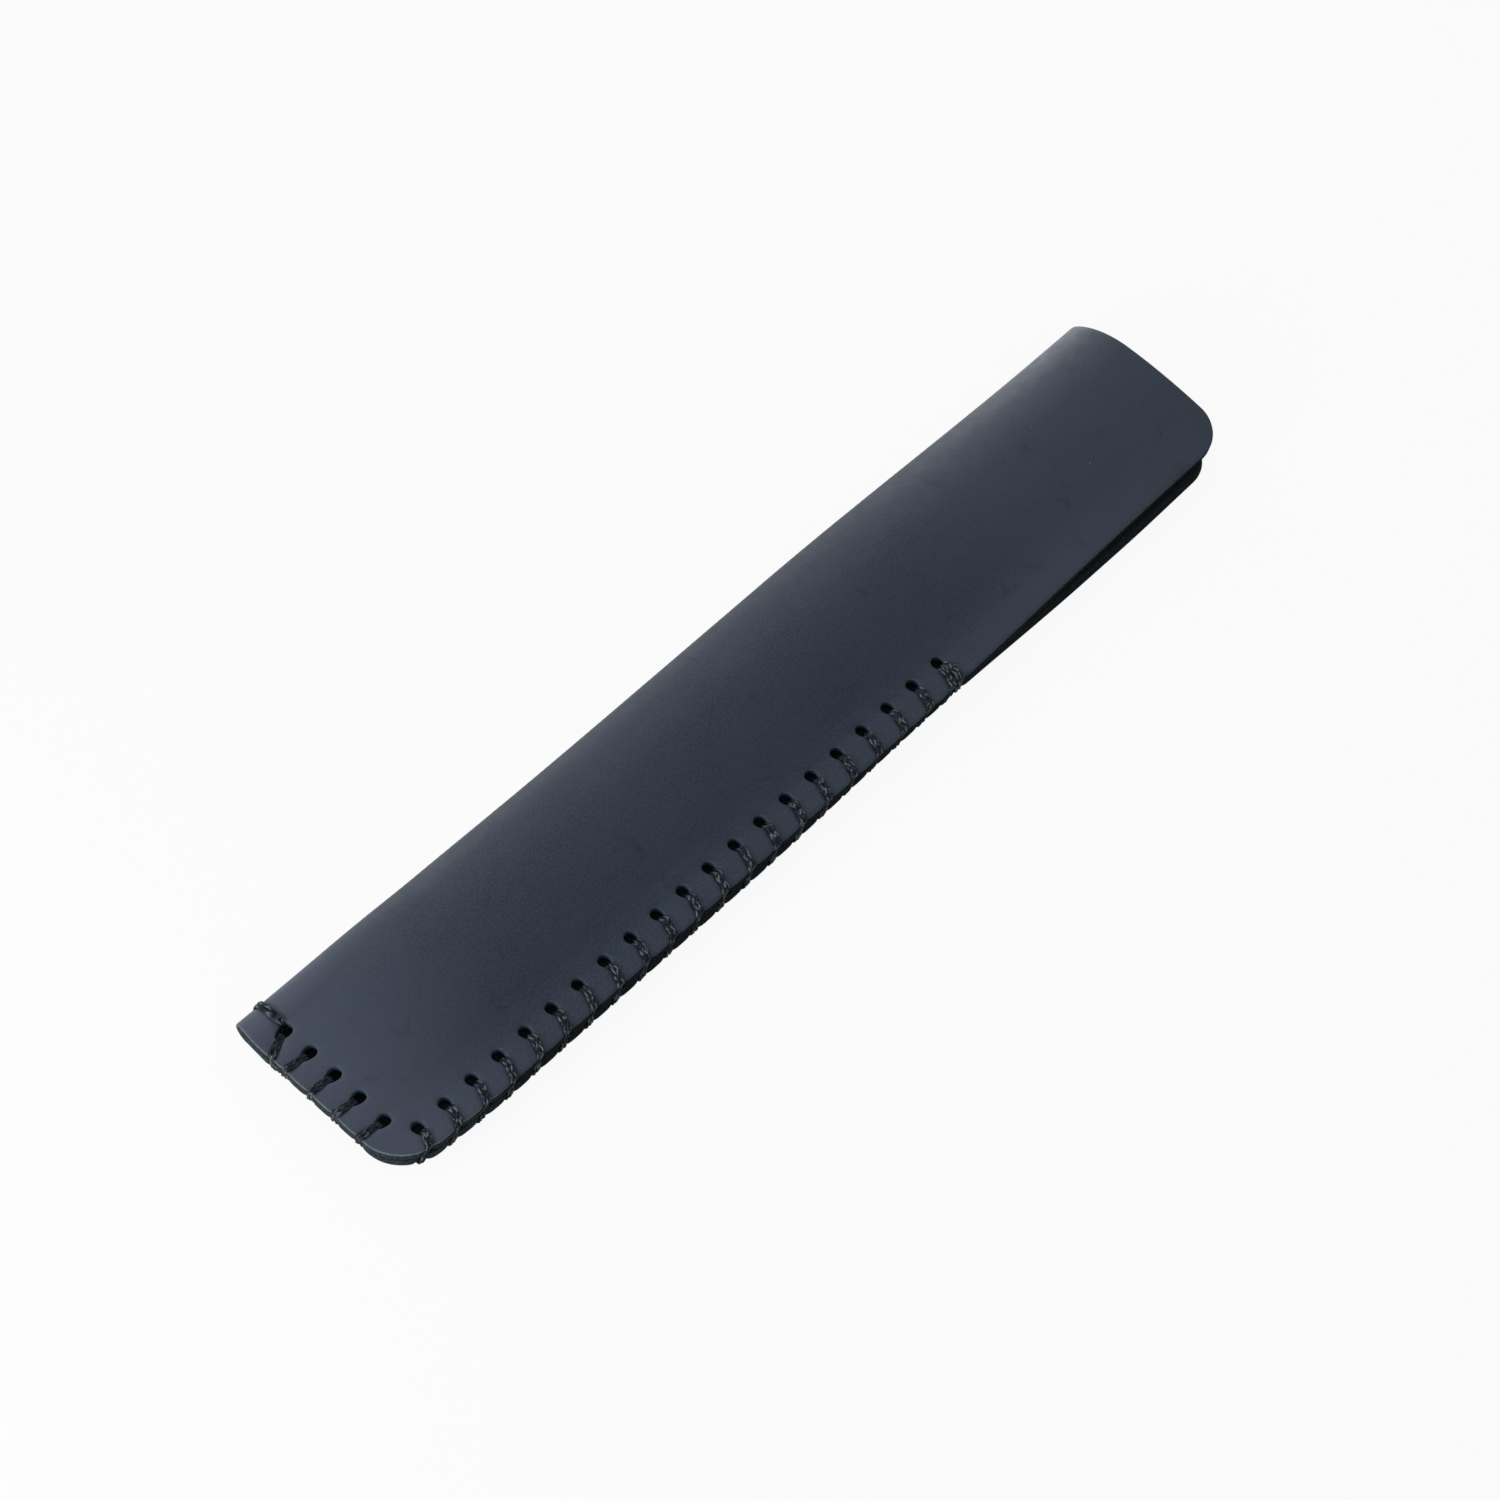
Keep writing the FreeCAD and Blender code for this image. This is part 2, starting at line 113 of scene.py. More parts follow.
# %% [markdown]
# ## The folded cross section
# Cut across, the leather is one strip: it comes up from the seam, lies flat under the pocket, rolls
# round the fold, arches over the pocket and comes back down to the seam. It could be a curve drawn by
# hand. Here it is made of lines and arcs, once for the pinched closed end, once for the sewn pocket and
# once for the raised lip, with the same number of points in each run, so that the three can be mixed for
# every place along the sleeve.

# %% Sizes of the section, in millimetres
def box_mm(node):
    """A CAD node's low and high corners."""
    return [np.array(corner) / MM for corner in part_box(node)]


back_low, back_high = box_mm("back_panel")
front_high = box_mm("front_panel")[1]
end_reach = 0.35
closed_x = back_low[0] - end_reach
back_mouth_x, mouth_x = back_high[0] + end_reach, front_high[0] + end_reach
edge_y, half_width = back_low[1], -back_low[1]
leather = 1.5
seam_lift = back_high[2] - leather
margin_width, rise_width = 6.0, 11.0
margin_y, rise_y = edge_y + margin_width, edge_y + rise_width
print(f"the sleeve lies from x {closed_x:.1f} to {mouth_x:.1f} mm")

# %% The section as lines and arcs
run_points = 100
quarter = math.pi / 2
fold_turn = math.radians(46)


def line(start, stop, count):
    """Points of a straight run, without its last one."""
    share = np.linspace(0, 1, count, endpoint=False)[:, None]
    return np.array(start) * (1 - share) + np.array(stop) * share


def arc(centre, radius, start, stop, count):
    """Points of a round run, without its last one."""
    angle = np.linspace(start, stop, count, endpoint=False)[:, None]
    return np.array(centre) + radius * np.hstack([np.cos(angle), np.sin(angle)])


def section(base, fold_radius, shoulder, draw, margin_z, face_z):
    """Points y, z on the outer face, from the back layer's seam edge round the fold to the front's."""
    nose_y, nose_z = half_width - draw - fold_radius, base + fold_radius
    crown_y = nose_y + (fold_radius - shoulder) * math.cos(fold_turn)
    crown_z = nose_z + (fold_radius - shoulder) * math.sin(fold_turn) + shoulder
    span, fall = crown_y - margin_y, crown_z - margin_z
    front = (span ** 2 + fall ** 2) / (2 * fall)
    turned = quarter + math.asin(span / front)
    return np.vstack([
        line((edge_y, seam_lift), (rise_y, base), run_points),
        line((rise_y, base), (nose_y, base), run_points),
        arc((nose_y, nose_z), fold_radius, -quarter, fold_turn, run_points),
        arc((crown_y, crown_z - shoulder), shoulder, fold_turn, quarter, run_points),
        arc((crown_y, crown_z - front), front, quarter, turned, run_points),
        line((margin_y, margin_z), (edge_y, face_z), run_points),
        [(edge_y, face_z)],
    ])


def smooth_step(t):
    """0 below 0, 1 above 1 and a smooth rise between."""
    t = np.clip(t, 0, 1)
    return t * t * (3 - 2 * t)


# %% Three sections: the closed end, the sewn pocket and the lip
end_lift, layer_gap = 0.9, 0.1
margin_gap, end_gap = 0.5, 0.1
seam_face = seam_lift + layer_gap + 2 * leather
rise_share = (rise_y - margin_y) / (rise_y - edge_y)
sewn_margin = 2 * leather + margin_gap + seam_lift * rise_share
end_margin = 2 * leather + end_gap + seam_lift * rise_share + end_lift * (1 - rise_share)
end_fold, end_draw = leather + layer_gap / 2, -0.5
open_fold, open_shoulder, open_draw = 2.2, 14.5, 1.2
lip_margin, lip_face = 6.5, 5.3
end_section = section(end_lift, end_fold, end_fold, end_draw, end_margin, seam_face)
full_section = section(0.0, open_fold, open_shoulder, open_draw, sewn_margin, seam_face)
lip_section = section(0.0, open_fold, open_shoulder, open_draw, lip_margin, lip_face)

swell, swell_rise = 0.35, 0.15
swell_run, swell_full = 5.0, 4.0
swollen = smooth_step((end_section[:, 0] - half_width + swell_run) / swell_full)
end_section[:, 1] += ((end_section[:, 1] - end_lift - end_fold) * swell + swell_rise) * swollen
end_height, pocket_height = end_section[:, 1].max(), full_section[:, 1].max()
print(f"the sleeve is {end_height:.1f} mm high at its closed end and {pocket_height:.1f} mm at the pocket")

# %% [markdown]
# The drawn sections have kinks beside the seam, and leather has no sharp bend but its fold. A rounded
# corner could replace each kink, but its radius would change along the sleeve. So each section is walked
# in even steps, and near a kink a point becomes the mean of its neighbours. The result is kept as tables
# over v, the distance across the flat blank.

# %% Even steps and soft kinks
kink_spread, kink_reach = 1.7, 2.5


def lengths(points):
    """How far along a line each of its points lies."""
    return np.concatenate([[0], np.cumsum(np.linalg.norm(np.diff(points, axis=0), axis=1))])


def even_steps(points, count):
    """A line's points, moved to even steps along it."""
    along = lengths(points)
    at = np.linspace(0, along[-1], count)
    return np.stack([np.interp(at, along, points[:, i]) for i in (0, 1)], 1)


def soften(points, v, kinks):
    """Rounds the kinks of a section: near each, a point becomes the mean of its neighbours."""
    weight = np.exp(-((v[:, None] - v[None, :]) / kink_spread) ** 2 / 2)
    mean = weight @ points / weight.sum(1, keepdims=True)
    near = np.min([np.abs(v - kink) for kink in kinks], 0) / (kink_reach * kink_spread)
    share = smooth_step(1 - near)[:, None]
    return points * (1 - share) + mean * share


def lengthen(points, reach):
    """Carries both ends of a section straight on, for what lies just past the edges."""
    first = points[0] + (points[0] - points[1]) / np.linalg.norm(points[0] - points[1]) * reach
    last = points[-1] + (points[-1] - points[-2]) / np.linalg.norm(points[-1] - points[-2]) * reach
    return np.vstack([first, points, last])


# %% The sections as tables
table_steps, past_edge = 600, 2.0
v_corner = lengths(full_section)[::run_points]
blank_width = v_corner[-1]
nose_v, turned_v, crown_v = v_corner[2:5]
seam_kinks = v_corner[[1, 5]]
v_even = np.linspace(0, blank_width, table_steps)
sections = [lengthen(soften(even_steps(drawn, table_steps), v_even, seam_kinks), past_edge)
            for drawn in (end_section, full_section, lip_section)]
v_table = np.concatenate([[-past_edge], v_even, [blank_width + past_edge]])
slopes = [np.gradient(drawn, v_table, axis=0) for drawn in sections]
print(f"the blank is {blank_width:.1f} mm wide and {mouth_x - closed_x:.1f} mm long")

# %% [markdown]
# ## From the flat blank to the folded sleeve
# A point of the blank has a place along the sleeve, x, a place across it, v, and a depth below the grain
# side. The next functions say where that point lies after folding. A cloth simulation could fold the
# blank, but stiff leather keeps its fold, so a formula does it and the stitches can use it too. Along the
# sleeve the section opens from the pinched end to the pocket, and past the seam's end it rises to the lip.

# %% How the sections mix along the sleeve
flex_joint = next(joint for joint in frame["joints"] if joint["name"] == "mouth_flap_flex")
flex_at = np.array(flex_joint["pos_m"]) / MM
taper_length, pinch = 34.0, 0.5
lift_before, lift_power = 8.0, 1.25
lift_from_x = flex_at[0] - lift_before
lift_run = mouth_x - lift_from_x


def section_shares(x):
    """How much of each section is in the one at x, and the slopes of these shares along the sleeve."""
    t = np.clip((x - closed_x) / taper_length, 0, 1)
    risen = (1 - pinch) * smooth_step(t) + pinch * (1 - (1 - t) ** 2)
    rising = ((1 - pinch) * 6 * t * (1 - t) + pinch * 2 * (1 - t)) / taper_length
    u = np.clip((x - lift_from_x) / lift_run, 0, None)
    lifted, lifting = u ** lift_power, lift_power * u ** (lift_power - 1) / lift_run
    return (1 - risen, risen - lifted, lifted), (-rising, rising - lifting, lifting)


def across(tables, v, shares):
    """Points or slopes of the mixed section at v."""
    mixed = [sum(share * np.interp(v, v_table, table[:, i]) for table, share in zip(tables, shares))
             for i in (0, 1)]
    return np.column_stack([0 * v] + mixed)


print(f"the pocket opens over {taper_length:.0f} mm, and the lip rises over {lift_run:.0f} mm")

# %% [markdown]
# The real fold isn't a straight line. Along the body, where the pocket has been used, it lies a little
# further out than at the two ends, and most where the pocket begins. A wider section could give that, but
# it would move the seam as well. So only the half beside the fold is moved out, by a bow along the sleeve.

# %% The fold's bow, and folding
fold_bow, fold_bow_rise, fold_bow_fade = 1.12, (-88.0, 32.0), (75.0, 56.0)
taper_bow, taper_bow_x, taper_bow_run = 0.45, -54.0, 14.0
bow_from_y, bow_run_y, bow_tiny = -2.0, 14.0, 0.01


def window(t, rise, fade):
    """1 along a stretch: rise says where it starts and over what length, fade where and how it ends."""
    return smooth_step((t - rise[0]) / rise[1]) * smooth_step((fade[0] - t) / fade[1])


def bowed(x, y):
    """The place across the sleeve of a point at y, moved out with the fold."""
    taper = np.exp(-((x - taper_bow_x) / taper_bow_run) ** 2 / 2)
    bow = fold_bow * window(x, fold_bow_rise, fold_bow_fade) + taper_bow * taper
    return y + bow * smooth_step((y - bow_from_y) / bow_run_y)


def fold(x, v, depth=0.0):
    """The folded place of points of the blank, in millimetres."""
    x, v, depth = np.broadcast_arrays(*(np.atleast_1d(np.asarray(a, float)) for a in (x, v, depth)))
    shares, share_slopes = section_shares(x)
    place = across(sections, v, shares) + np.outer(x, (1, 0, 0))
    along_x = across(sections, v, share_slopes) + (1, 0, 0)
    around = across(slopes, v, shares)
    out_y = bowed(x, place[:, 1])
    around[:, 1] *= (bowed(x, place[:, 1] + bow_tiny) - out_y) / bow_tiny
    place[:, 1] = out_y
    outward = np.cross(around, along_x)
    outward /= np.linalg.norm(outward, axis=1, keepdims=True)
    return place - outward * depth[:, None]


def layer_v(x, y):
    """The v of the front layer's point at a place in plan, and that of the back layer's point below it."""
    shares = section_shares(np.asarray(x, float))[0]
    row = bowed(x, sum(table[:, 0] * share for table, share in zip(sections, shares)))
    tip = np.argmax(row)
    return float(np.interp(-y, -row[tip:], v_table[tip:])), float(np.interp(y, row[:tip], v_table[:tip]))


print("the crown at mid-length lies at", np.round(fold(0, crown_v)[0], 2))

# %% [markdown]
# ## The punch pattern
# The holes are rows of the same round punch. A boolean could cut them out of the finished leather, but it
# leaves long slivers round every rim. So a small Geometry Nodes tree only lays out the rings of points
# that each hole needs, as a maker marks the punch's places on the blank, and the blank is then meshed
# between them.

# %% Helpers that add nodes to any tree
def add_node(tree, kind, inputs=(), **settings):
    """Adds a node, sets its properties and feeds its inputs, each a socket with a value or an output."""
    made = tree.nodes.new(kind)
    for name, value in settings.items():
        setattr(made, name, value)
    for socket, value in dict(inputs).items():
        if isinstance(value, bpy.types.NodeSocket):
            tree.links.new(value, made.inputs[socket])
        else:
            made.inputs[socket].default_value = value
    return made


def calculate(tree, operation, *values):
    """A Math node's result."""
    return add_node(tree, "ShaderNodeMath", enumerate(values), operation=operation).outputs[0]


# %% Helpers that make, end and run a Geometry Nodes tree
def new_tree(name, *sizes):
    """A Geometry Nodes tree with a geometry input, named sizes and a geometry output."""
    tree = bpy.data.node_groups.new(name, "GeometryNodeTree")
    tree.interface.new_socket("Geometry", in_out="INPUT", socket_type="NodeSocketGeometry")
    for size, kind in sizes:
        tree.interface.new_socket(size, in_out="INPUT", socket_type=kind)
    tree.interface.new_socket("Geometry", in_out="OUTPUT", socket_type="NodeSocketGeometry")
    return tree, add_node(tree, "NodeGroupInput").outputs


def finish_tree(tree, geometry_out, material):
    """Ends a tree in plain geometry with one material."""
    real = add_node(tree, "GeometryNodeRealizeInstances", {0: geometry_out})
    painted = add_node(tree, "GeometryNodeSetMaterial", {"Geometry": real.outputs[0], "Material": material})
    add_node(tree, "NodeGroupOutput", {0: painted.outputs[0]})


def run_tree(source_mesh, tree, name, sizes):
    """Runs a tree on a mesh with the sizes given for its named inputs, and returns a plain mesh."""
    carrier = place_in_scene(name, source_mesh)
    modifier = carrier.modifiers.new(name, "NODES")
    modifier.node_group = tree
    for item in tree.interface.items_tree:
        if item.in_out == "INPUT" and item.name in sizes:
            modifier[item.identifier] = sizes[item.name]
    graph = bpy.context.evaluated_depsgraph_get()
    result = bpy.data.meshes.new_from_object(carrier.evaluated_get(graph))
    bpy.data.objects.remove(carrier)
    result.name = name
    return result


# %% Rings of points round each hole of a row
hole_radius, hole_rim = 0.9, 0.28
hole_sides, hole_rings, ring_step = 24, 4, 0.3
leather_finish = bpy.data.materials.new("waxed_leather")

punch_tree, size_in = new_tree(
    "punch_row", ("Pitch", "NodeSocketFloat"), ("Holes", "NodeSocketInt"), ("Rim", "NodeSocketFloat"),
    ("Step", "NodeSocketFloat"),
)
step_way = add_node(punch_tree, "ShaderNodeCombineXYZ", {"X": size_in["Pitch"]})
hole_marks = add_node(punch_tree, "GeometryNodeMeshLine",
                      {"Count": size_in["Holes"], "Offset": step_way.outputs[0]})
hole_circles = add_node(punch_tree, "GeometryNodeJoinGeometry")
for number in reversed(range(hole_rings)):
    wider = calculate(punch_tree, "MULTIPLY_ADD", size_in["Step"], number, size_in["Rim"])
    circle = add_node(punch_tree, "GeometryNodeMeshCircle", {"Vertices": hole_sides, "Radius": wider})
    punch_tree.links.new(circle.outputs[0], hole_circles.inputs[0])
punched = add_node(punch_tree, "GeometryNodeInstanceOnPoints",
                   {"Points": hole_marks.outputs[0], "Instance": hole_circles.outputs[0]})
finish_tree(punch_tree, punched.outputs[0], leather_finish)


def punch_row(pitch, count):
    """Points round each hole of a row, measured from its middle: holes by rings by points."""
    sizes = {"Pitch": pitch, "Holes": count, "Rim": hole_radius + hole_rim, "Step": ring_step}
    mesh = run_tree(bpy.data.meshes.new("marks"), punch_tree, "punch_row", sizes)
    points = np.array([vertex.co[:2] for vertex in mesh.vertices])
    bpy.data.meshes.remove(mesh)
    middles = np.stack([np.arange(count) * pitch, np.zeros(count)], 1)
    return points.reshape(count, hole_rings, hole_sides, 2) - middles[:, None, None]


print(f"the punch tree has {len(punch_tree.nodes)} nodes")

# %% [markdown]
# The rows aren't perfect on the real sleeve. The tight thread has gathered the side row in its middle,
# and the row runs slightly towards the fold at the mouth. The pull has also drawn the front holes out
# towards the edge into short slots. Moving the punch's places and its rings gives both.

# %% The two rows
side_count, bottom_count = 21, 5
side_pitch, bottom_pitch = 5.0, 4.75
side_start, side_margin = 6.2, 3.9
bottom_margin, fold_margin = 4.25, 5.15
side_x, side_y = closed_x + side_start, edge_y + side_margin
bottom_x, bottom_y = closed_x + bottom_margin, half_width - fold_margin
side_row = punch_row(side_pitch, side_count)
bottom_row = punch_row(bottom_pitch, bottom_count)
row_gather, gather_middle, gather_drop = 0.0062, 8.5, 0.12
row_skew, skew_middle = 0.03, 10
side_holes = [(side_x + i * side_pitch + row_gather * (i - gather_middle) ** 2 - gather_drop,
               side_y + row_skew * (i - skew_middle)) for i in range(side_count)]
bottom_holes = [(bottom_x, bottom_y - i * bottom_pitch) for i in range(bottom_count)]
print(f"{side_count} holes along the side and {bottom_count} along the closed end")

# %% The holes of both layers, drawn out by the thread
hole_lean, side_pull, end_pull = 0.78, 0.38, 0.85
pull_power = 1.5
closed_share = 0.66


def drawn_out(marks, at_end):
    """A front hole's rings, drawn out towards the edge by the thread's pull, the inner rings most."""
    pull = np.array([-1.0, 0]) if at_end else np.array([0, 1.0])
    facing = np.clip(marks @ pull / np.linalg.norm(marks, axis=2), 0, 1) ** pull_power
    fade = 1 - np.arange(hole_rings)[:, None] / hole_rings
    return marks + pull * ((end_pull if at_end else side_pull) * facing * fade)[..., None]


holes_flat, hole_loops = [], []
for (x, y), marks in zip(side_holes + bottom_holes, list(side_row) + list(bottom_row)):
    at_end = x == bottom_x
    holes_flat.append((x, layer_v(x, y)[0]))
    hole_loops.append(drawn_out(marks, at_end) + holes_flat[-1])
    under_x, under_y = (x - hole_lean, y) if at_end else (x, y - hole_lean)
    holes_flat.append((under_x, layer_v(under_x, under_y)[1]))
    hole_loops.append(marks * closed_share + holes_flat[-1])
print(f"{len(holes_flat)} holes punched, {len(side_holes)} along the side in each layer")

# %% [markdown]
# ## The blank's outline
# Seen flat, the blank is a rectangle with four rounded corners. The back lip is cut shorter than the
# front one, and the free edge of the front layer is trimmed slightly inward towards the mouth. The long
# edges bow out a little, and the closed end is set in at the back layer and at the fold. A traced curve
# could hold all that, but lines, arcs and smooth steps can be changed one at a time.

# %% How the edges bow and are set in
bow_start, front_bow, back_bow, free_bow = 20.0, 0.7, 0.86, 0.48
front_bow_fade, back_bow_fade = (66.0, 70.0), (25.0, 45.0)
free_bow_rise, free_bow_fade = (22.0, 28.0), (82.0, 24.0)
end_set_in, set_in_rise, set_in_fade = 0.25, (3.0, 6.0), (nose_v - 4.0, 3.0)
fold_set_in, fold_set_run = 0.45, 7.0
fold_v = (nose_v + turned_v) / 2


def edge_bow(x, front):
    """How far the long open side bows out of a straight line, on the front or the back layer."""
    bow_rise = (closed_x, bow_start)
    if front:
        return front_bow * window(x, bow_rise, front_bow_fade)
    sewn = back_bow * window(x, bow_rise, back_bow_fade)
    return sewn + free_bow * window(x, free_bow_rise, free_bow_fade)


def set_in(v):
    """How far the closed end lies behind its furthest line: the back layer's a little, the fold's more."""
    by_fold = smooth_step(1 - np.abs(v - fold_v) / fold_set_run)
    return end_set_in * window(v, set_in_rise, set_in_fade) + fold_set_in * by_fold


print(f"the front edge bows out by {edge_bow(0.0, True):.2f} mm at mid-length")

# %% Outline of the blank
bottom_corner, mouth_corner = 7.0, 5.5
corner_points, lip_points = 40, 120
free_trim = 0.4
lip_before_fold, lip_run = 4.0, 11.0
outline_step = 0.45


def walk(points, step):
    """A closed line's points at even steps."""
    closed = np.vstack([points, points[:1]])
    return even_steps(closed, int(lengths(closed)[-1] / step) + 1)[:-1]


corner_x, lip_end = closed_x + bottom_corner, blank_width - free_trim
lip_v = np.linspace(mouth_corner, lip_end - mouth_corner, lip_points)
lip_rise = smooth_step((lip_v - (nose_v - lip_before_fold)) / lip_run)
lip_x = back_mouth_x + (mouth_x - back_mouth_x) * lip_rise
outline = walk(np.vstack([
    line((corner_x, 0), (back_mouth_x - mouth_corner, 0), 2),
    arc((back_mouth_x - mouth_corner, mouth_corner), mouth_corner, -quarter, 0, corner_points),
    np.stack([lip_x, lip_v], 1),
    arc((mouth_x - mouth_corner, lip_end - mouth_corner), mouth_corner, 0, quarter, corner_points),
    [(mouth_x - mouth_corner, lip_end), (flex_at[0], blank_width)],
    arc((corner_x, blank_width - bottom_corner), bottom_corner, quarter, 2 * quarter, corner_points),
    arc((corner_x, bottom_corner), bottom_corner, 2 * quarter, 3 * quarter, corner_points),
]), outline_step)

near_back = np.clip(1 - outline[:, 1] / bottom_corner, 0, 1)
near_front = np.clip(1 - (blank_width - outline[:, 1]) / bottom_corner, 0, 1)
outline[:, 1] += near_front * edge_bow(outline[:, 0], True) - near_back * edge_bow(outline[:, 0], False)
by_end = outline[:, 0] < corner_x
outline[by_end, 0] += set_in(outline[by_end, 1])
print(f"the outline has {len(outline)} points")

# %% [markdown]
# ## The stitches' plan
# A whipstitch comes up through both layers, crosses the front to the edge, goes over it and slants back
# under the sleeve to the next hole. The first hole takes the thread twice, and the last one takes it
# round the fold. The plan could be a list of places, but each stitch is the same step from hole to hole,
# so a function makes them all. Both the leather and the thread follow it.

# %% Where the thread crosses the edge
edge_shares = {"side": (0.2, 0.46), "bottom": (0.1, 0.22)}


def rim_point(x, y, row, front):
    """The edge's place in plan beside a point, on the side or at the closed end, rounded at the corner."""
    centre = np.array([corner_x, edge_y + bottom_corner])
    if row == "side":
        reach = min(x - centre[0], 0.0)
        straight_y = centre[1] - math.sqrt(bottom_corner ** 2 - reach ** 2)
        return np.array([x, straight_y - float(edge_bow(x, front))])
    reach = min(y - centre[1], 0.0)
    return np.array([centre[0] - math.sqrt(bottom_corner ** 2 - reach ** 2), y])


def crossing(hole, aim, row, shares):
    """Places in plan where a stitch from hole to aim leaves the front layer and reaches the back layer."""
    way = np.array(aim) - np.array(hole)
    top, low = (rim_point(*(np.array(hole) + way * share), row, front)
                for share, front in zip(shares, (True, False)))
    if row == "bottom":
        top[0] += set_in(layer_v(*top)[0])
        low[0] += set_in(layer_v(*low)[1])
    return top, low


def plan_stitch(row, hole, goal, aim=None, shares=None):
    """A stitch's row, its hole, the hole that it goes on to, and where it goes over the edge."""
    over = crossing(hole, aim or goal, row, shares or edge_shares[row])
    return {"row": row, "hole": hole, "goal": goal, "over": over}


# %% The stitches in sewing order
half_spread = 0.4
first_x, first_y = side_holes[-1]
side_stops = [(first_x + half_spread, first_y), (first_x - half_spread, first_y)] + side_holes[-2::-1]
bottom_stops = bottom_holes[::-1]
corner_hole = side_stops[-1]
corner_aim = (corner_hole[0] - side_pitch, corner_hole[1])
stitches = [plan_stitch("side", a, b) for a, b in zip(side_stops, side_stops[1:])]
stitches.append(plan_stitch("side", corner_hole, bottom_stops[0], corner_aim))
stitches += [plan_stitch("bottom", a, b) for a, b in zip(bottom_stops, bottom_stops[1:])]

last_slip, last_reach, last_shares = 0.15, (1.6, -1.5), (0.3, 0.3)
top_hole = bottom_holes[0]
last_hole = (top_hole[0], top_hole[1] - last_slip)
last_goal = (last_hole[0] + last_reach[0], last_hole[1] + last_reach[1])
last_aim = (last_hole[0], last_hole[1] - bottom_pitch)
stitches.append(plan_stitch("bottom", last_hole, last_goal, last_aim, last_shares))
print(f"{len(stitches)} stitches go over the edge")

# %% [markdown]
# Each crossing presses the leather: a groove from the hole to the edge, a dimple round the hole and a
# dent in the cut edge. A bump in the finish could hint at them, but the dents show in the outline, so the
# mesh itself is pressed.

# %% Grooves and dimples on the flat blank
groove_depth, end_groove, groove_width = 0.2, 0.34, 0.68
dimple_depth, dimple_width = 0.16, 1.15
round_slip, round_back = 0.3, 0.2


def flat(point, front):
    """A place in plan as a point of the blank, on the front or the back layer."""
    return np.array([point[0], layer_v(*point)[0 if front else 1]])


grooves = []
for stitch in stitches:
    front_depth = end_groove if stitch["row"] == "bottom" else groove_depth
    grooves.append((flat(stitch["hole"], True), flat(stitch["over"][0], True), front_depth))
    grooves.append((flat(stitch["over"][1], False), flat(stitch["goal"], False), groove_depth))
round_hole = (top_hole[0] + round_slip, top_hole[1] + hole_lean)
fold_run = (flat(round_hole, True), flat((top_hole[0] - round_back, top_hole[1]), False))
grooves.append((*fold_run, groove_depth))


def pressed(points):
    """How deep the grain side is pressed in at points of the blank."""
    depth = np.zeros(len(points))
    for start, stop, deepest in grooves:
        way = stop - start
        share = np.clip(((points - start) @ way) / (way @ way), 0, 1)
        gap = np.linalg.norm(points - start - share[:, None] * way, axis=1)
        depth = np.maximum(depth, deepest * np.exp(-(gap / groove_width) ** 2))
    for hole in holes_flat:
        gap = np.linalg.norm(points - hole, axis=1)
        depth += dimple_depth * np.exp(-(gap / dimple_width) ** 2)
    return depth


print(f"{len(grooves)} grooves and {len(holes_flat)} dimples")

# %% Dents in the cut edge
edge_dent, dent_width = {"side": 0.58, "bottom": 0.42}, {"side": 0.8, "bottom": 0.65}


def inward(loop):
    """Unit directions into the leather along a loop that runs with the leather on its left."""
    ahead = np.roll(loop, -1, 0) - np.roll(loop, 1, 0)
    return np.stack([-ahead[:, 1], ahead[:, 0]], 1) / np.linalg.norm(ahead, axis=1, keepdims=True)


dent = np.zeros(len(outline))
for stitch in stitches:
    row = stitch["row"]
    for place, front in zip(stitch["over"], (True, False)):
        gap = np.linalg.norm(outline - flat(place, front), axis=1)
        dent = np.maximum(dent, edge_dent[row] * np.exp(-(gap / dent_width[row]) ** 2))
outline_in = inward(outline)
outline = outline + outline_in * dent[:, None]
print(f"the deepest dent is {dent.max():.2f} mm")

# %% [markdown]
# ## Meshing the blank
# The faces need small triangles where the stitches press the leather and round the fold, and larger ones
# elsewhere. Rows of points with steps that follow this are laid over the blank, those outside it or close
# to a loop are dropped, and a constrained Delaunay triangulation joins the rest with the outline and the
# holes' rings. Both sides of the leather use the same triangles.

# %% Steps of the rows
fine, coarse_v, coarse_x, round_fold = 0.37, 0.9, 1.1, 0.34
sewn_band, sewn_past, bow_reach = 7.5, 2.0, 1.0
row_blend, free_blend, end_blend = 4.0, 6.0, 5.0
sewn_to_x = flex_at[0] + sewn_past


def marks_along(start, stop, step_at):
    """Places from start to stop, with the step that step_at gives at each."""
    found = [start]
    while found[-1] < stop:
        found.append(found[-1] + float(step_at(found[-1])))
    return np.array(found)


def row_step(v):
    """The step from a row at v to the next."""
    far_band = blank_width - sewn_band
    places = (sewn_band, sewn_band + row_blend, nose_v - row_blend, nose_v,
              turned_v, turned_v + row_blend, far_band - row_blend, far_band)
    return np.interp(v, places, (fine, coarse_v, coarse_v, round_fold, round_fold, coarse_v, coarse_v, fine))


def point_step(x, in_band):
    """The step from a point of a row to the next, in a sewn band or between the bands."""
    if in_band:
        return np.interp(x, (sewn_to_x, sewn_to_x + free_blend), (fine, 2 * fine))
    end_band = closed_x + sewn_band
    return np.interp(x, (end_band, end_band + end_blend), (fine, coarse_x))


# %% Rows of points over the blank
edge_round, edge_clear, ring_clear = 0.22, 0.6, 0.3


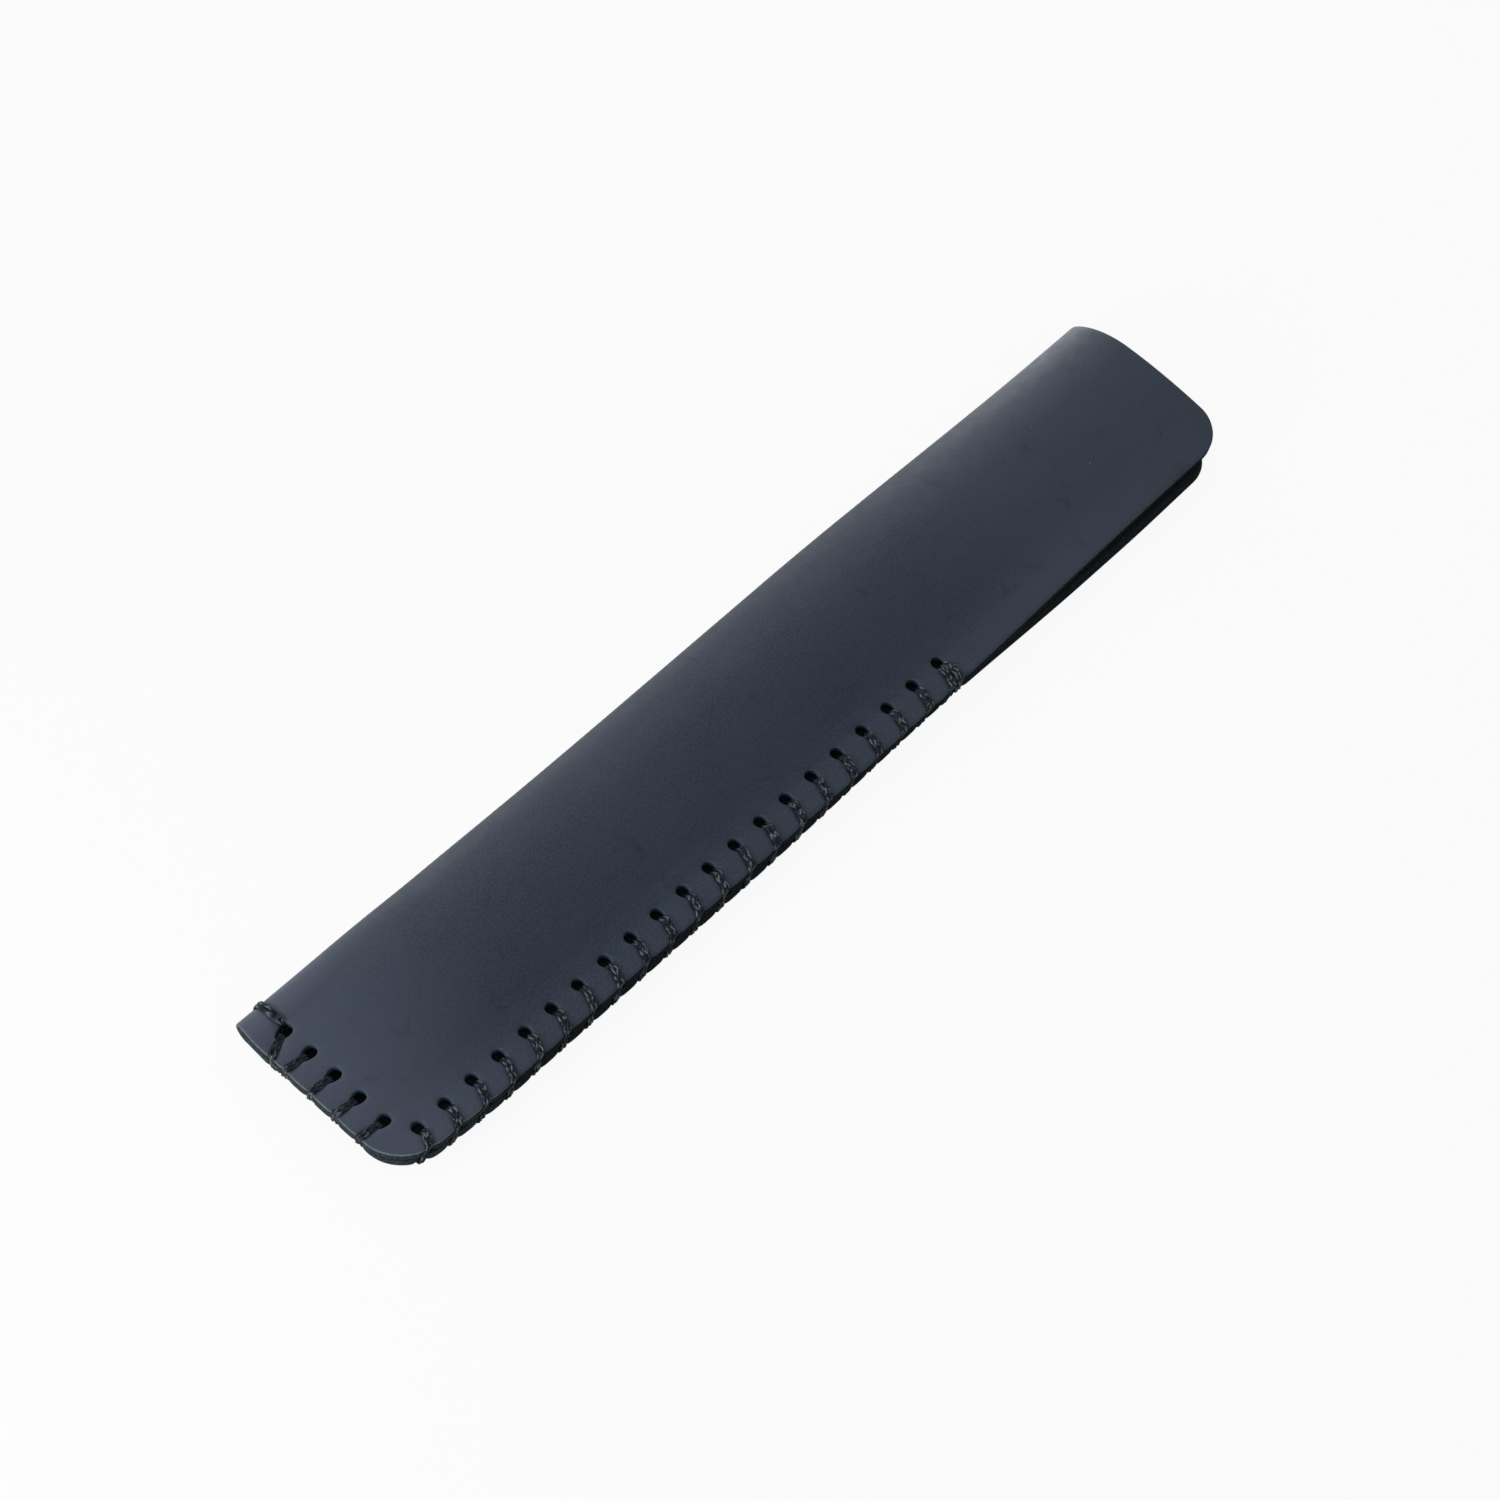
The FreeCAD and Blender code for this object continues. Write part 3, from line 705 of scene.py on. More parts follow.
def gap_to(points, loop):
    """The distance of points to a closed line, and whether they lie inside it."""
    gap, inside = np.full(len(points), np.inf), np.zeros(len(points), bool)
    for a, b in zip(loop, np.roll(loop, -1, 0)):
        way = b - a
        share = np.clip(((points - a) @ way) / (way @ way), 0, 1)
        gap = np.minimum(gap, np.linalg.norm(points - a - share[:, None] * way, axis=1))
        beside = (a[1] > points[:, 1]) != (b[1] > points[:, 1])
        if beside.any():
            inside ^= beside & (points[:, 0] < a[0] + (points[:, 1] - a[1]) * way[0] / (way[1] or 1))
    return gap, inside


row_marks = {band: marks_along(closed_x, mouth_x, lambda x: point_step(x, band)) for band in (True, False)}
rows = []
for i, v in enumerate(marks_along(-bow_reach, blank_width + bow_reach, row_step)):
    xs = row_marks[v < sewn_band or v > blank_width - sewn_band]
    shift = np.gradient(xs) / 2 * (i % 2)
    rows.append(np.stack([xs + shift, np.full(len(xs), v)], 1))
lattice = np.vstack(rows)
face_edge = outline + outline_in * edge_round
edge_gap, inside = gap_to(lattice, face_edge)
keep = inside & (edge_gap > edge_clear * fine)
hole_reach = hole_radius + hole_rim + ring_step * (hole_rings - ring_clear)
for hole in holes_flat:
    keep &= np.linalg.norm(lattice - hole, axis=1) > hole_reach
lattice = lattice[keep]
print(f"{len(rows)} rows with {len(lattice)} points inside the blank")

# %% Triangles between the loops
merge_gap, inside_only = 1e-6, 1
groups = [face_edge] + [loop.reshape(-1, 2) for loop in hole_loops] + [lattice]
starts = np.cumsum([0] + [len(group) for group in groups])
loops = [np.arange(len(face_edge))]
loops += [start + np.arange(hole_sides)[::-1] for start in starts[1:-2]]
borders = [(int(a), int(b)) for loop in loops for a, b in zip(loop, np.roll(loop, -1))]
flat_verts, _, triangles, origins, _, _ = geometry.delaunay_2d_cdt(
    [Vector(p) for p in np.vstack(groups)], borders, [], inside_only, merge_gap)
points = np.array([tuple(p) for p in flat_verts])
moved_to = {old: new for new, olds in enumerate(origins) for old in olds}
loops = [np.array([moved_to[old] for old in loop]) for loop in loops]
triangles = np.array([tuple(face) for face in triangles])

loop_of = np.zeros(len(points), int)
for number, loop in enumerate(loops[1:], 1):
    loop_of[loop] = number
corner_loop = loop_of[triangles]
in_hole = (corner_loop[:, 0] > 0) & (corner_loop == corner_loop[:, :1]).all(1)
triangles = triangles[~in_hole]
a, b, c = (points[triangles[:, i]] for i in range(3))
area = (b[:, 0] - a[:, 0]) * (c[:, 1] - a[:, 1]) - (b[:, 1] - a[:, 1]) * (c[:, 0] - a[:, 0])
triangles[area < 0] = triangles[area < 0][:, ::-1]
print(f"{len(points)} points and {len(triangles)} triangles on each side of the leather")

# %% [markdown]
# ## Giving the blank its thickness
# Solidify would do for a plain sheet. Here the cut edges show, so each loop gets its own wall: a rounded
# grain edge, a straight cut and a rounded flesh edge. The holes' walls are made by the same function,
# with a softer rim, because the thread has rolled it inward.

# %% Walls along the loops
edge_points = 4
edge_turn = np.linspace(0, quarter, edge_points)
side_points = len(points)


def wall(loop, rim, first):
    """The cut wall along a loop: new points as x, v, depth and share of the cut, and faces that use them."""
    ring, into = points[loop], inward(points[loop])
    sunk = pressed(ring)
    profile = [(rim * math.sin(t), rim * (1 - math.cos(t))) for t in edge_turn[1:]]
    profile += [(out, leather - depth) for out, depth in reversed(profile)]
    made = []
    for out, depth in profile:
        share = np.full(len(loop), depth / leather)
        made.append(np.column_stack([ring - into * out, depth + sunk * (1 - share), share]))
    courses = [loop] + [first + i * len(loop) + np.arange(len(loop)) for i in range(len(profile))]
    courses.append(loop + side_points)
    sides = [np.stack([upper, np.roll(upper, -1), np.roll(lower, -1), lower], 1)
             for upper, lower in zip(courses, courses[1:])]
    return np.vstack(made), np.vstack(sides)


# %% One closed mesh
grain_side = np.column_stack([points, pressed(points), np.zeros(side_points)])
flesh_side = np.column_stack([points, np.full(side_points, leather), np.ones(side_points)])
blank_points, blank_faces = [grain_side, flesh_side], [triangles[:, ::-1], triangles + side_points]
loop_rims = [edge_round] + [hole_rim, hole_rim * closed_share] * (len(holes_flat) // 2)
for loop, rim in zip(loops, loop_rims):
    new_points, new_faces = wall(loop, rim, sum(map(len, blank_points)))
    blank_points.append(new_points)
    blank_faces.append(new_faces)
x, v, depth, cut = np.vstack(blank_points).T
outer_edge = np.zeros(len(x))
outer_edge[2 * side_points:2 * side_points + len(blank_points[2])] = 1
leather_places = fold(x, v, depth)

leather_mesh = bpy.data.meshes.new("sleeve_leather")
leather_mesh.from_pydata(leather_places * MM, [], [tuple(f) for part in blank_faces for f in part.tolist()])
leather_mesh.shade_smooth()
for name, values in (("blank_x", x), ("blank_v", v), ("cut_share", cut), ("outer_edge", outer_edge)):
    noted = leather_mesh.attributes.new(name, "FLOAT", "POINT")
    noted.data.foreach_set("value", values.astype(np.float32))
leather_mesh.materials.append(leather_finish)
leather_piece = place_in_scene("sleeve_leather", leather_mesh)
print(f"leather mesh: {len(leather_mesh.vertices)} points, {len(leather_mesh.polygons)} faces")

# %% [markdown]
# ## The leather follows the bodies
# The corner that isn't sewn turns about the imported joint's own line, a little more with each millimetre
# from it, because leather bends in a wide curve and has no hinge. Two meshes would tear apart at that
# line, so one mesh is blended between the two bodies. Only the front layer lies on the flap, so the
# points of the back layer below it keep to the sleeve.

# %% Blending the leather between the sleeve and the flap
flex_width = 8.0
flex_axis = np.array(flex_joint["axis"])
flex_across = np.array([-flex_axis[1], flex_axis[0]]) / np.hypot(*flex_axis[:2])
off_flex = (leather_places[:, :2] - flex_at[:2]) @ flex_across / flex_width
flap_weight = smooth_step(off_flex) * (v > crown_v)

flex_start = flex_at * MM
flex_end = flex_start + np.append(flex_across, 0) * flex_width * MM
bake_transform(leather_piece, "sleeve", "mouth_flap", start=flex_start, end=flex_end)
leather_mesh.attributes["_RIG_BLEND"].data.foreach_set("value", flap_weight.astype(np.float32))
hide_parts("back_panel", "fold_spine", "front_panel", "mouth_flap")
print(f"{np.count_nonzero(flap_weight)} points of the leather go with the flap")

# %% [markdown]
# ## The thread's route
# One thread makes all the stitches. Its route is a line of points: up through a hole, over the front to
# the edge, round the edge and back under to the next hole. A route drawn by hand would float over the
# leather here and there. So the points are found with the function that folded it, a little above or
# below its faces. Each point carries a share of pale wax and painted glint: none inside the holes, and
# little on the inner half of the closed end's stitches, which is left dark as painted shade.

# %% Laying points on the leather
thread_height = 0.16
x_way, y_way = np.array([1.0, 0, 0]), np.array([0, 1.0, 0])
width_of = {"side": x_way, "bottom": y_way}
way_out = {"side": np.array([0, -1.0]), "bottom": np.array([-1.0, 0])}
route, route_way, route_wax_and_glint = [], [], []


def lay(place, way, wax_and_glint=1.0):
    """Adds a point to the route, with the direction of the flat thread's width and its wax and painted glint.
    """
    route.append(np.asarray(place, float).reshape(3))
    route_way.append(way)
    route_wax_and_glint.append(wax_and_glint)


def on_leather(point, front, height=thread_height):
    """The place over a point in plan, so high above the face of the front or the back layer."""
    spot = flat(point, front)
    return fold(spot[0], spot[1], -height)[0]


def rim_out(point, row):
    """The direction out of the sleeve at a place on its edge."""
    way = np.minimum(point - np.array([closed_x, edge_y]) - bottom_corner, 0)
    way = way if way.all() else way_out[row]
    return np.append(way / np.linalg.norm(way), 0)


def lean(hole, row):
    """A hole's place, moved towards the edge that pulls the thread."""
    return np.array(hole) + way_out[row] * hole_lean


# %% One stitch
hole_depths = ((False, 0.5), (False, 1.2), (True, 1.2), (True, 0.45))
exit_shift = {"side": (0.4, 0), "bottom": (0, 0)}
cross_shares = (0.25, 0.5, 0.8)
cross_heights = {"side": (0.08, 0.14, 0.18), "bottom": (-0.3, -0.08, 0.06)}
# Share of wax and painted glint along each crossing: at the closed end the inner part stays dark as painted
# shade in its groove.
cross_wax_and_glint = {"side": (1.0, 1.0, 1.0), "bottom": (0.0, 0.2, 1.0)}
top_in, top_rise, low_in, low_drop = 0.26, 0.08, 0.32, 0.04
edge_runs, edge_height = (0.3, 0.6), -0.36
under_runs = ((0.25, 0.04), (0.6, 0.12))


def pass_through(spot, way, wax_and_glint, depths=hole_depths):
    """The thread goes up inside a hole, or the part of it whose depths are given."""
    for front, depth in depths:
        lay(on_leather(spot, front, -depth), way, wax_and_glint)


def come_up(hole, row):
    """The thread comes up through a hole of both layers."""
    spot, way = lean(hole, row), width_of[row]
    lay(on_leather(spot, False), way)
    pass_through(spot, way, 0.0)


def go_over(stitch):
    """The thread crosses the front to the edge, goes round it and lies under the back layer."""
    row = stitch["row"]
    way = width_of[row]
    hole = lean(stitch["hole"], row) + exit_shift[row]
    top, low = stitch["over"]
    for share, height, wax_and_glint in zip(cross_shares, cross_heights[row], cross_wax_and_glint[row]):
        lay(on_leather(hole + (top - hole) * share, True, height), way, wax_and_glint)
    upper, lower = on_leather(top, True, 0), on_leather(low, False, 0)
    lay(upper - rim_out(top, row) * top_in + (0, 0, top_rise), way)
    for share in edge_runs:
        edge_place = top + (low - top) * share
        lay(upper + (lower - upper) * share + rim_out(edge_place, row) * edge_height, way)
    lay(lower - rim_out(low, row) * low_in - (0, 0, low_drop), way)
    goal = np.array(stitch["goal"])
    for share, height in under_runs:
        lay(on_leather(low + (goal - low) * share, False, height), way)


# %% The whole route
round_shares = np.linspace(0.04, 0.94, 14)
pass_through(lean(stitches[0]["hole"], "side"), x_way, 1.0, hole_depths[2:])
go_over(stitches[0])
for stitch in stitches[1:-1]:
    come_up(stitch["hole"], stitch["row"])
    go_over(stitch)
pass_through(round_hole, x_way, 1.0)
fold_start, fold_stop = fold_run
for share in round_shares:
    spot = fold_start + (fold_stop - fold_start) * share
    lay(fold(spot[0], spot[1], -thread_height)[0], x_way)
come_up(last_hole, "bottom")
go_over(stitches[-1])
route, route_way, route_wax_and_glint = np.array(route), np.array(route_way), np.array(route_wax_and_glint)
route_length = np.linalg.norm(np.diff(route, axis=0), axis=1).sum()
print(f"the route has {len(route)} points and is about {route_length:.0f} mm long")

# %% [markdown]
# ## The braided thread
# The thread is a flat braid of fine yarns. A tube with a bump would look like wire from close by, so the
# yarns are real: half of them wind one way along the route and half the other, each passing over one and
# under the next, round a few straight core yarns. A Geometry Nodes tree does this for any route: it
# smooths the line, makes a copy of it for each yarn, moves the copies by a sine of their length and gives
# them a round section.

# %% A copy of the route for each yarn
yarns, core_yarns = 8, 3
thread_finish = bpy.data.materials.new("waxed_thread")
braid_sizes = ("Half Width", "Half Height", "Weave Height", "Turn Length", "Yarn Radius", "Step")
braid_tree, size_in = new_tree("braid", *((size, "NodeSocketFloat") for size in braid_sizes))


def braid_math(operation, *values):
    """A Math node's result in the braid's tree."""
    return calculate(braid_tree, operation, *values)


as_curve = add_node(braid_tree, "GeometryNodeMeshToCurve", {"Mesh": size_in["Geometry"]})
as_round = add_node(braid_tree, "GeometryNodeCurveSplineType", {"Curve": as_curve.outputs[0]},
                    spline_type="CATMULL_ROM")
even = add_node(braid_tree, "GeometryNodeResampleCurve",
                {"Curve": as_round.outputs[0], "Length": size_in["Step"]}, mode="LENGTH")
copies = add_node(braid_tree, "GeometryNodeDuplicateElements",
                  {"Geometry": even.outputs[0], "Amount": yarns + core_yarns}, domain="SPLINE")
yarn_index = copies.outputs["Duplicate Index"]
print(f"{yarns} yarns wind round {core_yarns} core yarns")

# %% How far each yarn swings and rises
core_spread = 0.6
last_yarn = yarns - 0.5
along = add_node(braid_tree, "GeometryNodeSplineParameter").outputs["Length"]
odd = braid_math("MODULO", yarn_index, 2.0)
hand = braid_math("MULTIPLY_ADD", odd, -2.0, 1.0)
pair = braid_math("FLOOR", braid_math("DIVIDE", yarn_index, 2.0))
phase = braid_math("MULTIPLY", pair, 4 * math.pi / yarns)
turns = braid_math("DIVIDE", along, size_in["Turn Length"])
angle = braid_math("MULTIPLY_ADD", braid_math("MULTIPLY", turns, 2 * math.pi), hand, phase)
crossings = braid_math("COSINE", braid_math("MULTIPLY", angle, yarns / 2))
weave = braid_math("MULTIPLY", crossings, hand)
height = braid_math("MULTIPLY_ADD", weave, size_in["Weave Height"], size_in["Half Height"])
in_core = braid_math("GREATER_THAN", yarn_index, last_yarn)
yarn_rise = braid_math("MULTIPLY", height, braid_math("SINE", angle))
rise = braid_math("MULTIPLY", yarn_rise, braid_math("SUBTRACT", 1.0, in_core))
yarn_swing = braid_math("MULTIPLY", size_in["Half Width"], braid_math("COSINE", angle))
core_place = braid_math("SUBTRACT", yarn_index, yarns + (core_yarns - 1) / 2)
core_swing = braid_math("MULTIPLY", core_place, braid_math("MULTIPLY", size_in["Half Width"], core_spread))
swing = add_node(braid_tree, "ShaderNodeMix", {0: in_core, 2: yarn_swing, 3: core_swing}).outputs[0]
print(f"a winding yarn goes over and under {yarns // 2} times in a turn")

# %% Moving the yarns across the route
def braid_vector(operation, *values):
    """A Vector Math node's result in the braid's tree."""
    return add_node(braid_tree, "ShaderNodeVectorMath", enumerate(values), operation=operation).outputs[0]


def scaled(vector, amount):
    """A direction of the braid's tree, times a length."""
    return add_node(braid_tree, "ShaderNodeVectorMath", {0: vector, "Scale": amount},
                    operation="SCALE").outputs[0]


tangent = add_node(braid_tree, "GeometryNodeInputTangent").outputs[0]
width_way = add_node(braid_tree, "GeometryNodeInputNamedAttribute", {"Name": "width_way"},
                     data_type="FLOAT_VECTOR").outputs[0]
face_way = braid_vector("NORMALIZE", braid_vector("CROSS_PRODUCT", tangent, width_way))
side_way = braid_vector("NORMALIZE", braid_vector("CROSS_PRODUCT", face_way, tangent))
offset = braid_vector("ADD", scaled(side_way, swing), scaled(face_way, rise))
woven = add_node(braid_tree, "GeometryNodeSetPosition", {"Geometry": copies.outputs[0], "Offset": offset})
print(f"the braid's tree has {len(braid_tree.nodes)} nodes so far")

# %% Round yarns, with what the finish needs to know of them
yarn_sides = 5
core_drop = 3.0


def store(shape, name, value):
    """Keeps a value on the points of a shape of the braid's tree, under a name."""
    return add_node(braid_tree, "GeometryNodeStoreNamedAttribute",
                    {"Geometry": shape, "Name": name, "Value": value},
                    data_type="FLOAT", domain="POINT").outputs[0]


raised = braid_math("SUBTRACT", weave, braid_math("MULTIPLY", in_core, core_drop))
yarn_lines = store(store(woven.outputs[0], "along", along), "raised", raised)
yarn_ring = add_node(braid_tree, "GeometryNodeCurvePrimitiveCircle",
                     {"Resolution": yarn_sides, "Radius": size_in["Yarn Radius"]})
around = add_node(braid_tree, "GeometryNodeSplineParameter").outputs["Factor"]
yarn_section = store(yarn_ring.outputs[0], "around", around)
tubes = add_node(braid_tree, "GeometryNodeCurveToMesh",
                 {"Curve": yarn_lines, "Profile Curve": yarn_section, "Fill Caps": True})
smooth = add_node(braid_tree, "GeometryNodeSetShadeSmooth", {"Geometry": tubes.outputs[0]})
finish_tree(braid_tree, smooth.outputs[0], thread_finish)
print(f"the braid's tree has {len(braid_tree.nodes)} nodes")

# %% Braiding the thread along its route
braid_half_width, braid_half_height, weave_height = 0.47, 0.08, 0.075
braid_turn, yarn_radius, braid_step = 8.8, 0.155, 0.27
braid_mm = (braid_half_width, braid_half_height, weave_height, braid_turn, yarn_radius, braid_step)

route_mesh = bpy.data.meshes.new("thread_route")
route_mesh.from_pydata(route * MM, [(i, i + 1) for i in range(len(route) - 1)], [])
way_noted = route_mesh.attributes.new("width_way", "FLOAT_VECTOR", "POINT")
way_noted.data.foreach_set("vector", route_way.astype(np.float32).ravel())
# Share of pale wax and painted glint at each point of the route, for the thread's finish.
wax_and_glint_noted = route_mesh.attributes.new("wax_and_glint", "FLOAT", "POINT")
wax_and_glint_noted.data.foreach_set("value", route_wax_and_glint.astype(np.float32))
thread_mesh = run_tree(route_mesh, braid_tree, "whipstitch_braid",
                       {size: value * MM for size, value in zip(braid_sizes, braid_mm)})
thread_piece = place_in_scene("whipstitch_braid", thread_mesh)
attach(thread_piece, "sleeve")
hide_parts("whipstitch_thread")
print(f"thread mesh: {len(thread_mesh.vertices)} points, {len(thread_mesh.polygons)} faces")

# %% [markdown]
# ## Leather finish
# The leather is smooth, dyed through and waxed: nearly black, with a cool grey sheen where it turns
# towards the light. Its colour drifts slowly over the blank, with paler clouds and fine flecks in the
# wax. Photographs of leather could be wrapped round it, but noise that follows the flat blank needs no
# picture and runs round the fold without a seam. Its scales are in bumps per millimetre of the blank.

# %% Helpers for finishes
def shader_tree(material):
    """A material's tree with a Principled BSDF, and that node."""
    material.use_nodes = True
    tree = material.node_tree
    return tree, tree.nodes["Principled BSDF"]


def attribute(tree, name):
    """A number that the mesh keeps under a name."""
    return add_node(tree, "ShaderNodeAttribute", attribute_name=name).outputs["Fac"]


def ramp(tree, value, low, high, start=0.0, stop=1.0):
    """A value that goes smoothly from start to stop while the input goes from low to high."""
    sizes = {"Value": value, "From Min": low, "From Max": high, "To Min": start, "To Max": stop}
    return add_node(tree, "ShaderNodeMapRange", sizes, interpolation_type="SMOOTHSTEP").outputs[0]


def mix_colour(tree, share, first, second):
    """A colour between two others."""
    return add_node(tree, "ShaderNodeMix", {0: share, 6: first, 7: second}, data_type="RGBA").outputs[2]


def mix_number(tree, share, first, second):
    """A number between two others."""
    return add_node(tree, "ShaderNodeMix", {0: share, 2: first, 3: second}).outputs[0]


def noise(tree, place, scale, detail=3.0, roughness=0.55):
    """Cloudy noise between 0 and 1."""
    sizes = {"Vector": place, "Scale": scale, "Detail": detail, "Roughness": roughness}
    return add_node(tree, "ShaderNodeTexNoise", sizes).outputs[0]


def colour(red, green, blue):
    """An opaque colour."""
    return (red, green, blue, 1.0)


# %% Helpers for what lies on the blank
leather_tree, leather_shader = shader_tree(leather_finish)
blank_x, blank_v = attribute(leather_tree, "blank_x"), attribute(leather_tree, "blank_v")
blank_place = add_node(leather_tree, "ShaderNodeCombineXYZ", {0: blank_x, 1: blank_v}).outputs[0]


def patches(scale, detail, low, high, most=1.0, roughness=0.55):
    """Soft patches on the blank: a share that rises from 0 to most where the noise does from low to high."""
    cloudy = noise(leather_tree, blank_place, scale, detail, roughness)
    return ramp(leather_tree, cloudy, low, high, stop=most)


def coated(base, *coats):
    """A colour of the leather with coats over it, each a share and a tint."""
    for share, tint in coats:
        base = mix_colour(leather_tree, share, base, tint)
    return base


# %% The dye of the grain side
drift = patches(scale=0.07, detail=5.0, low=0.33, high=0.67)
tinge = patches(scale=0.19, detail=3.0, low=0.5, high=0.7, most=0.5)
cloud = patches(scale=0.8, detail=4.0, low=0.35, high=0.75, most=0.3)
fleck = patches(scale=3.0, detail=2.0, low=0.38, high=0.68, most=0.85)
grain_colour = coated(
    colour(0.0225, 0.0305, 0.0495),
    (drift, colour(0.0295, 0.0385, 0.062)),
    (tinge, colour(0.036, 0.038, 0.066)),
    (cloud, colour(0.04, 0.052, 0.08)),
    (fleck, colour(0.0445, 0.0565, 0.0845)),
)
print(f"the dye takes {len(leather_tree.nodes)} nodes")

# %% [markdown]
# The real leather shows its use. The finish is lighter towards the closed end, with a painted sheen
# along its fold there, and the mouth has been handled. Faint scuffs run along the sleeve, with dark
# smudges, thin bent scratches and a few specks of dust. These could be painted by hand. Noise in the
# right sizes gives the same kind of marks anywhere.

# %% A lighter closed end, a handled mouth and a painted fold sheen
# The finish is lighter towards the closed end.
near_end_span, lightened_most = (28.0, 1.0), 0.7
near_end = ramp(leather_tree, blank_x, closed_x + near_end_span[0], closed_x + near_end_span[1])
lightened = calculate(leather_tree, "MULTIPLY", near_end, lightened_most)
handled = ramp(leather_tree, blank_x, low=20.0, high=55.0, stop=0.36)
from_turn = calculate(leather_tree, "SUBTRACT", blank_v, turned_v)
from_fold = calculate(leather_tree, "ABSOLUTE", from_turn)
# Painted highlight: a pale sheen along the fold near the closed end.
by_fold = ramp(leather_tree, from_fold, low=5.6, high=2.2, stop=0.7)
painted_fold_sheen = calculate(leather_tree, "MULTIPLY", near_end, by_fold)
grain_colour = coated(
    grain_colour,
    (lightened, colour(0.072, 0.083, 0.121)),
    (handled, colour(0.066, 0.08, 0.11)),
    (painted_fold_sheen, colour(0.12, 0.135, 0.18)),
)
print(f"the leather is worn up to {near_end_span[0]:.0f} mm from its closed end")

# %% Scuffs, smudges and scratches
streak_scale = (0.05, 0.9, 1.0)
stretched = add_node(leather_tree, "ShaderNodeVectorMath", {0: blank_place, 1: streak_scale},
                     operation="MULTIPLY").outputs[0]
streak = ramp(leather_tree, noise(leather_tree, stretched, scale=1.0, detail=4.0), low=0.6, high=0.75)
scuffed = patches(scale=0.05, detail=2.0, low=0.5, high=0.62, most=0.4)
scuff = calculate(leather_tree, "MULTIPLY", streak, scuffed)
smudge = patches(scale=0.16, detail=6.0, low=0.56, high=0.72, most=0.4, roughness=0.7)

bends, bend_line = noise(leather_tree, blank_place, scale=0.075, detail=1.5, roughness=0.4), 0.5
off_line = calculate(leather_tree, "ABSOLUTE", calculate(leather_tree, "SUBTRACT", bends, bend_line))
stretch = patches(scale=0.21, detail=1.0, low=0.52, high=0.6, most=0.32)
scratch = calculate(leather_tree, "MULTIPLY", ramp(leather_tree, off_line, low=0.007, high=0.002), stretch)
scratch = calculate(leather_tree, "MULTIPLY", scratch, calculate(leather_tree, "SUBTRACT", 1.0, near_end))
grain_colour = coated(
    grain_colour,
    (scuff, colour(0.07, 0.08, 0.095)),
    (smudge, colour(0.017, 0.024, 0.041)),
    (scratch, colour(0.013, 0.019, 0.033)),
)
print(f"with wear and marks the leather finish has {len(leather_tree.nodes)} nodes")

# %% Specks of dust
speck_scale, speck_chance, speck_most = 0.22, 0.82, 0.8
cells = add_node(leather_tree, "ShaderNodeTexVoronoi", {"Vector": blank_place, "Scale": speck_scale}).outputs
cell_chance = add_node(leather_tree, "ShaderNodeSeparateColor", {0: cells["Color"]}).outputs[0]
chosen = calculate(leather_tree, "GREATER_THAN", cell_chance, speck_chance)
spot_share = ramp(leather_tree, cells["Distance"], low=0.042, high=0.02)
speck = calculate(leather_tree, "MULTIPLY", spot_share, chosen)
speck = calculate(leather_tree, "MULTIPLY", speck, speck_most)
grain_colour = coated(grain_colour, (speck, colour(0.25, 0.28, 0.3)))
print(f"about {1 - speck_chance:.0%} of the dust cells hold a speck")

# %% [markdown]
# The cut edge shows the leather's fibres: a paler rim on the grain side, partly worn and partly a
# painted highlight, dark raw leather below it and the dull flesh side. The outer edge has a lit and a
# shaded copy of these colours: paler at the closed end as painted light, darker elsewhere as painted
# shade. The walls of the holes are dark blue from the dye. A separate material for each could do, but
# the mesh knows how deep in the cut each point lies, so one finish runs over all of them without a seam.

# %% Colours of the cut edge and the flesh side
cut_share, on_rim = attribute(leather_tree, "cut_share"), attribute(leather_tree, "outer_edge")
object_place = add_node(leather_tree, "ShaderNodeTexCoord").outputs["Object"]
fibre = noise(leather_tree, object_place, scale=2600.0, detail=5.0, roughness=0.7)
raw_low, rim_low, fibre_high = 0.35, 0.3, 0.7


def fibrous(low, dark, pale):
    """A colour of the leather that goes from dark to pale with its fibres."""
    return mix_colour(leather_tree, ramp(leather_tree, fibre, low, fibre_high), dark, pale)


# Painted light and shade: the darker raw edge is a shaded copy for the sides, and the paler raw edge and pale
# rim are lit copies for the closed end.
shaded_raw_edge = fibrous(raw_low, colour(0.005, 0.008, 0.011), colour(0.024, 0.033, 0.039))
lit_raw_edge = fibrous(raw_low, colour(0.022, 0.032, 0.038), colour(0.085, 0.108, 0.118))
# The grain-side rim, also round the holes: partly worn and partly a painted highlight.
rim_wear_and_highlight = fibrous(rim_low, colour(0.035, 0.048, 0.058), colour(0.09, 0.118, 0.13))
lit_end_rim = fibrous(rim_low, colour(0.12, 0.15, 0.165), colour(0.26, 0.31, 0.33))
flesh = fibrous(rim_low, colour(0.012, 0.014, 0.017), colour(0.03, 0.034, 0.04))
hole_wall = colour(0.05, 0.075, 0.12)

# The outer edge takes the lit copies near the closed end and the shaded one elsewhere.
lit_end_edge = calculate(leather_tree, "MULTIPLY", near_end, on_rim)
edge_rim = mix_colour(leather_tree, lit_end_edge, rim_wear_and_highlight, lit_end_rim)
edge_raw = mix_colour(leather_tree, lit_end_edge, shaded_raw_edge, lit_raw_edge)
wall_raw = mix_colour(leather_tree, on_rim, hole_wall, edge_raw)
below_rim = ramp(leather_tree, cut_share, low=0.12, high=0.26)
at_flesh = ramp(leather_tree, cut_share, low=0.86, high=0.98)
on_cut = ramp(leather_tree, cut_share, low=0.01, high=0.07)
cut_colour = coated(edge_rim, (below_rim, wall_raw), (at_flesh, flesh))
whole = mix_colour(leather_tree, on_cut, grain_colour, cut_colour)
leather_tree.links.new(whole, leather_shader.inputs["Base Color"])
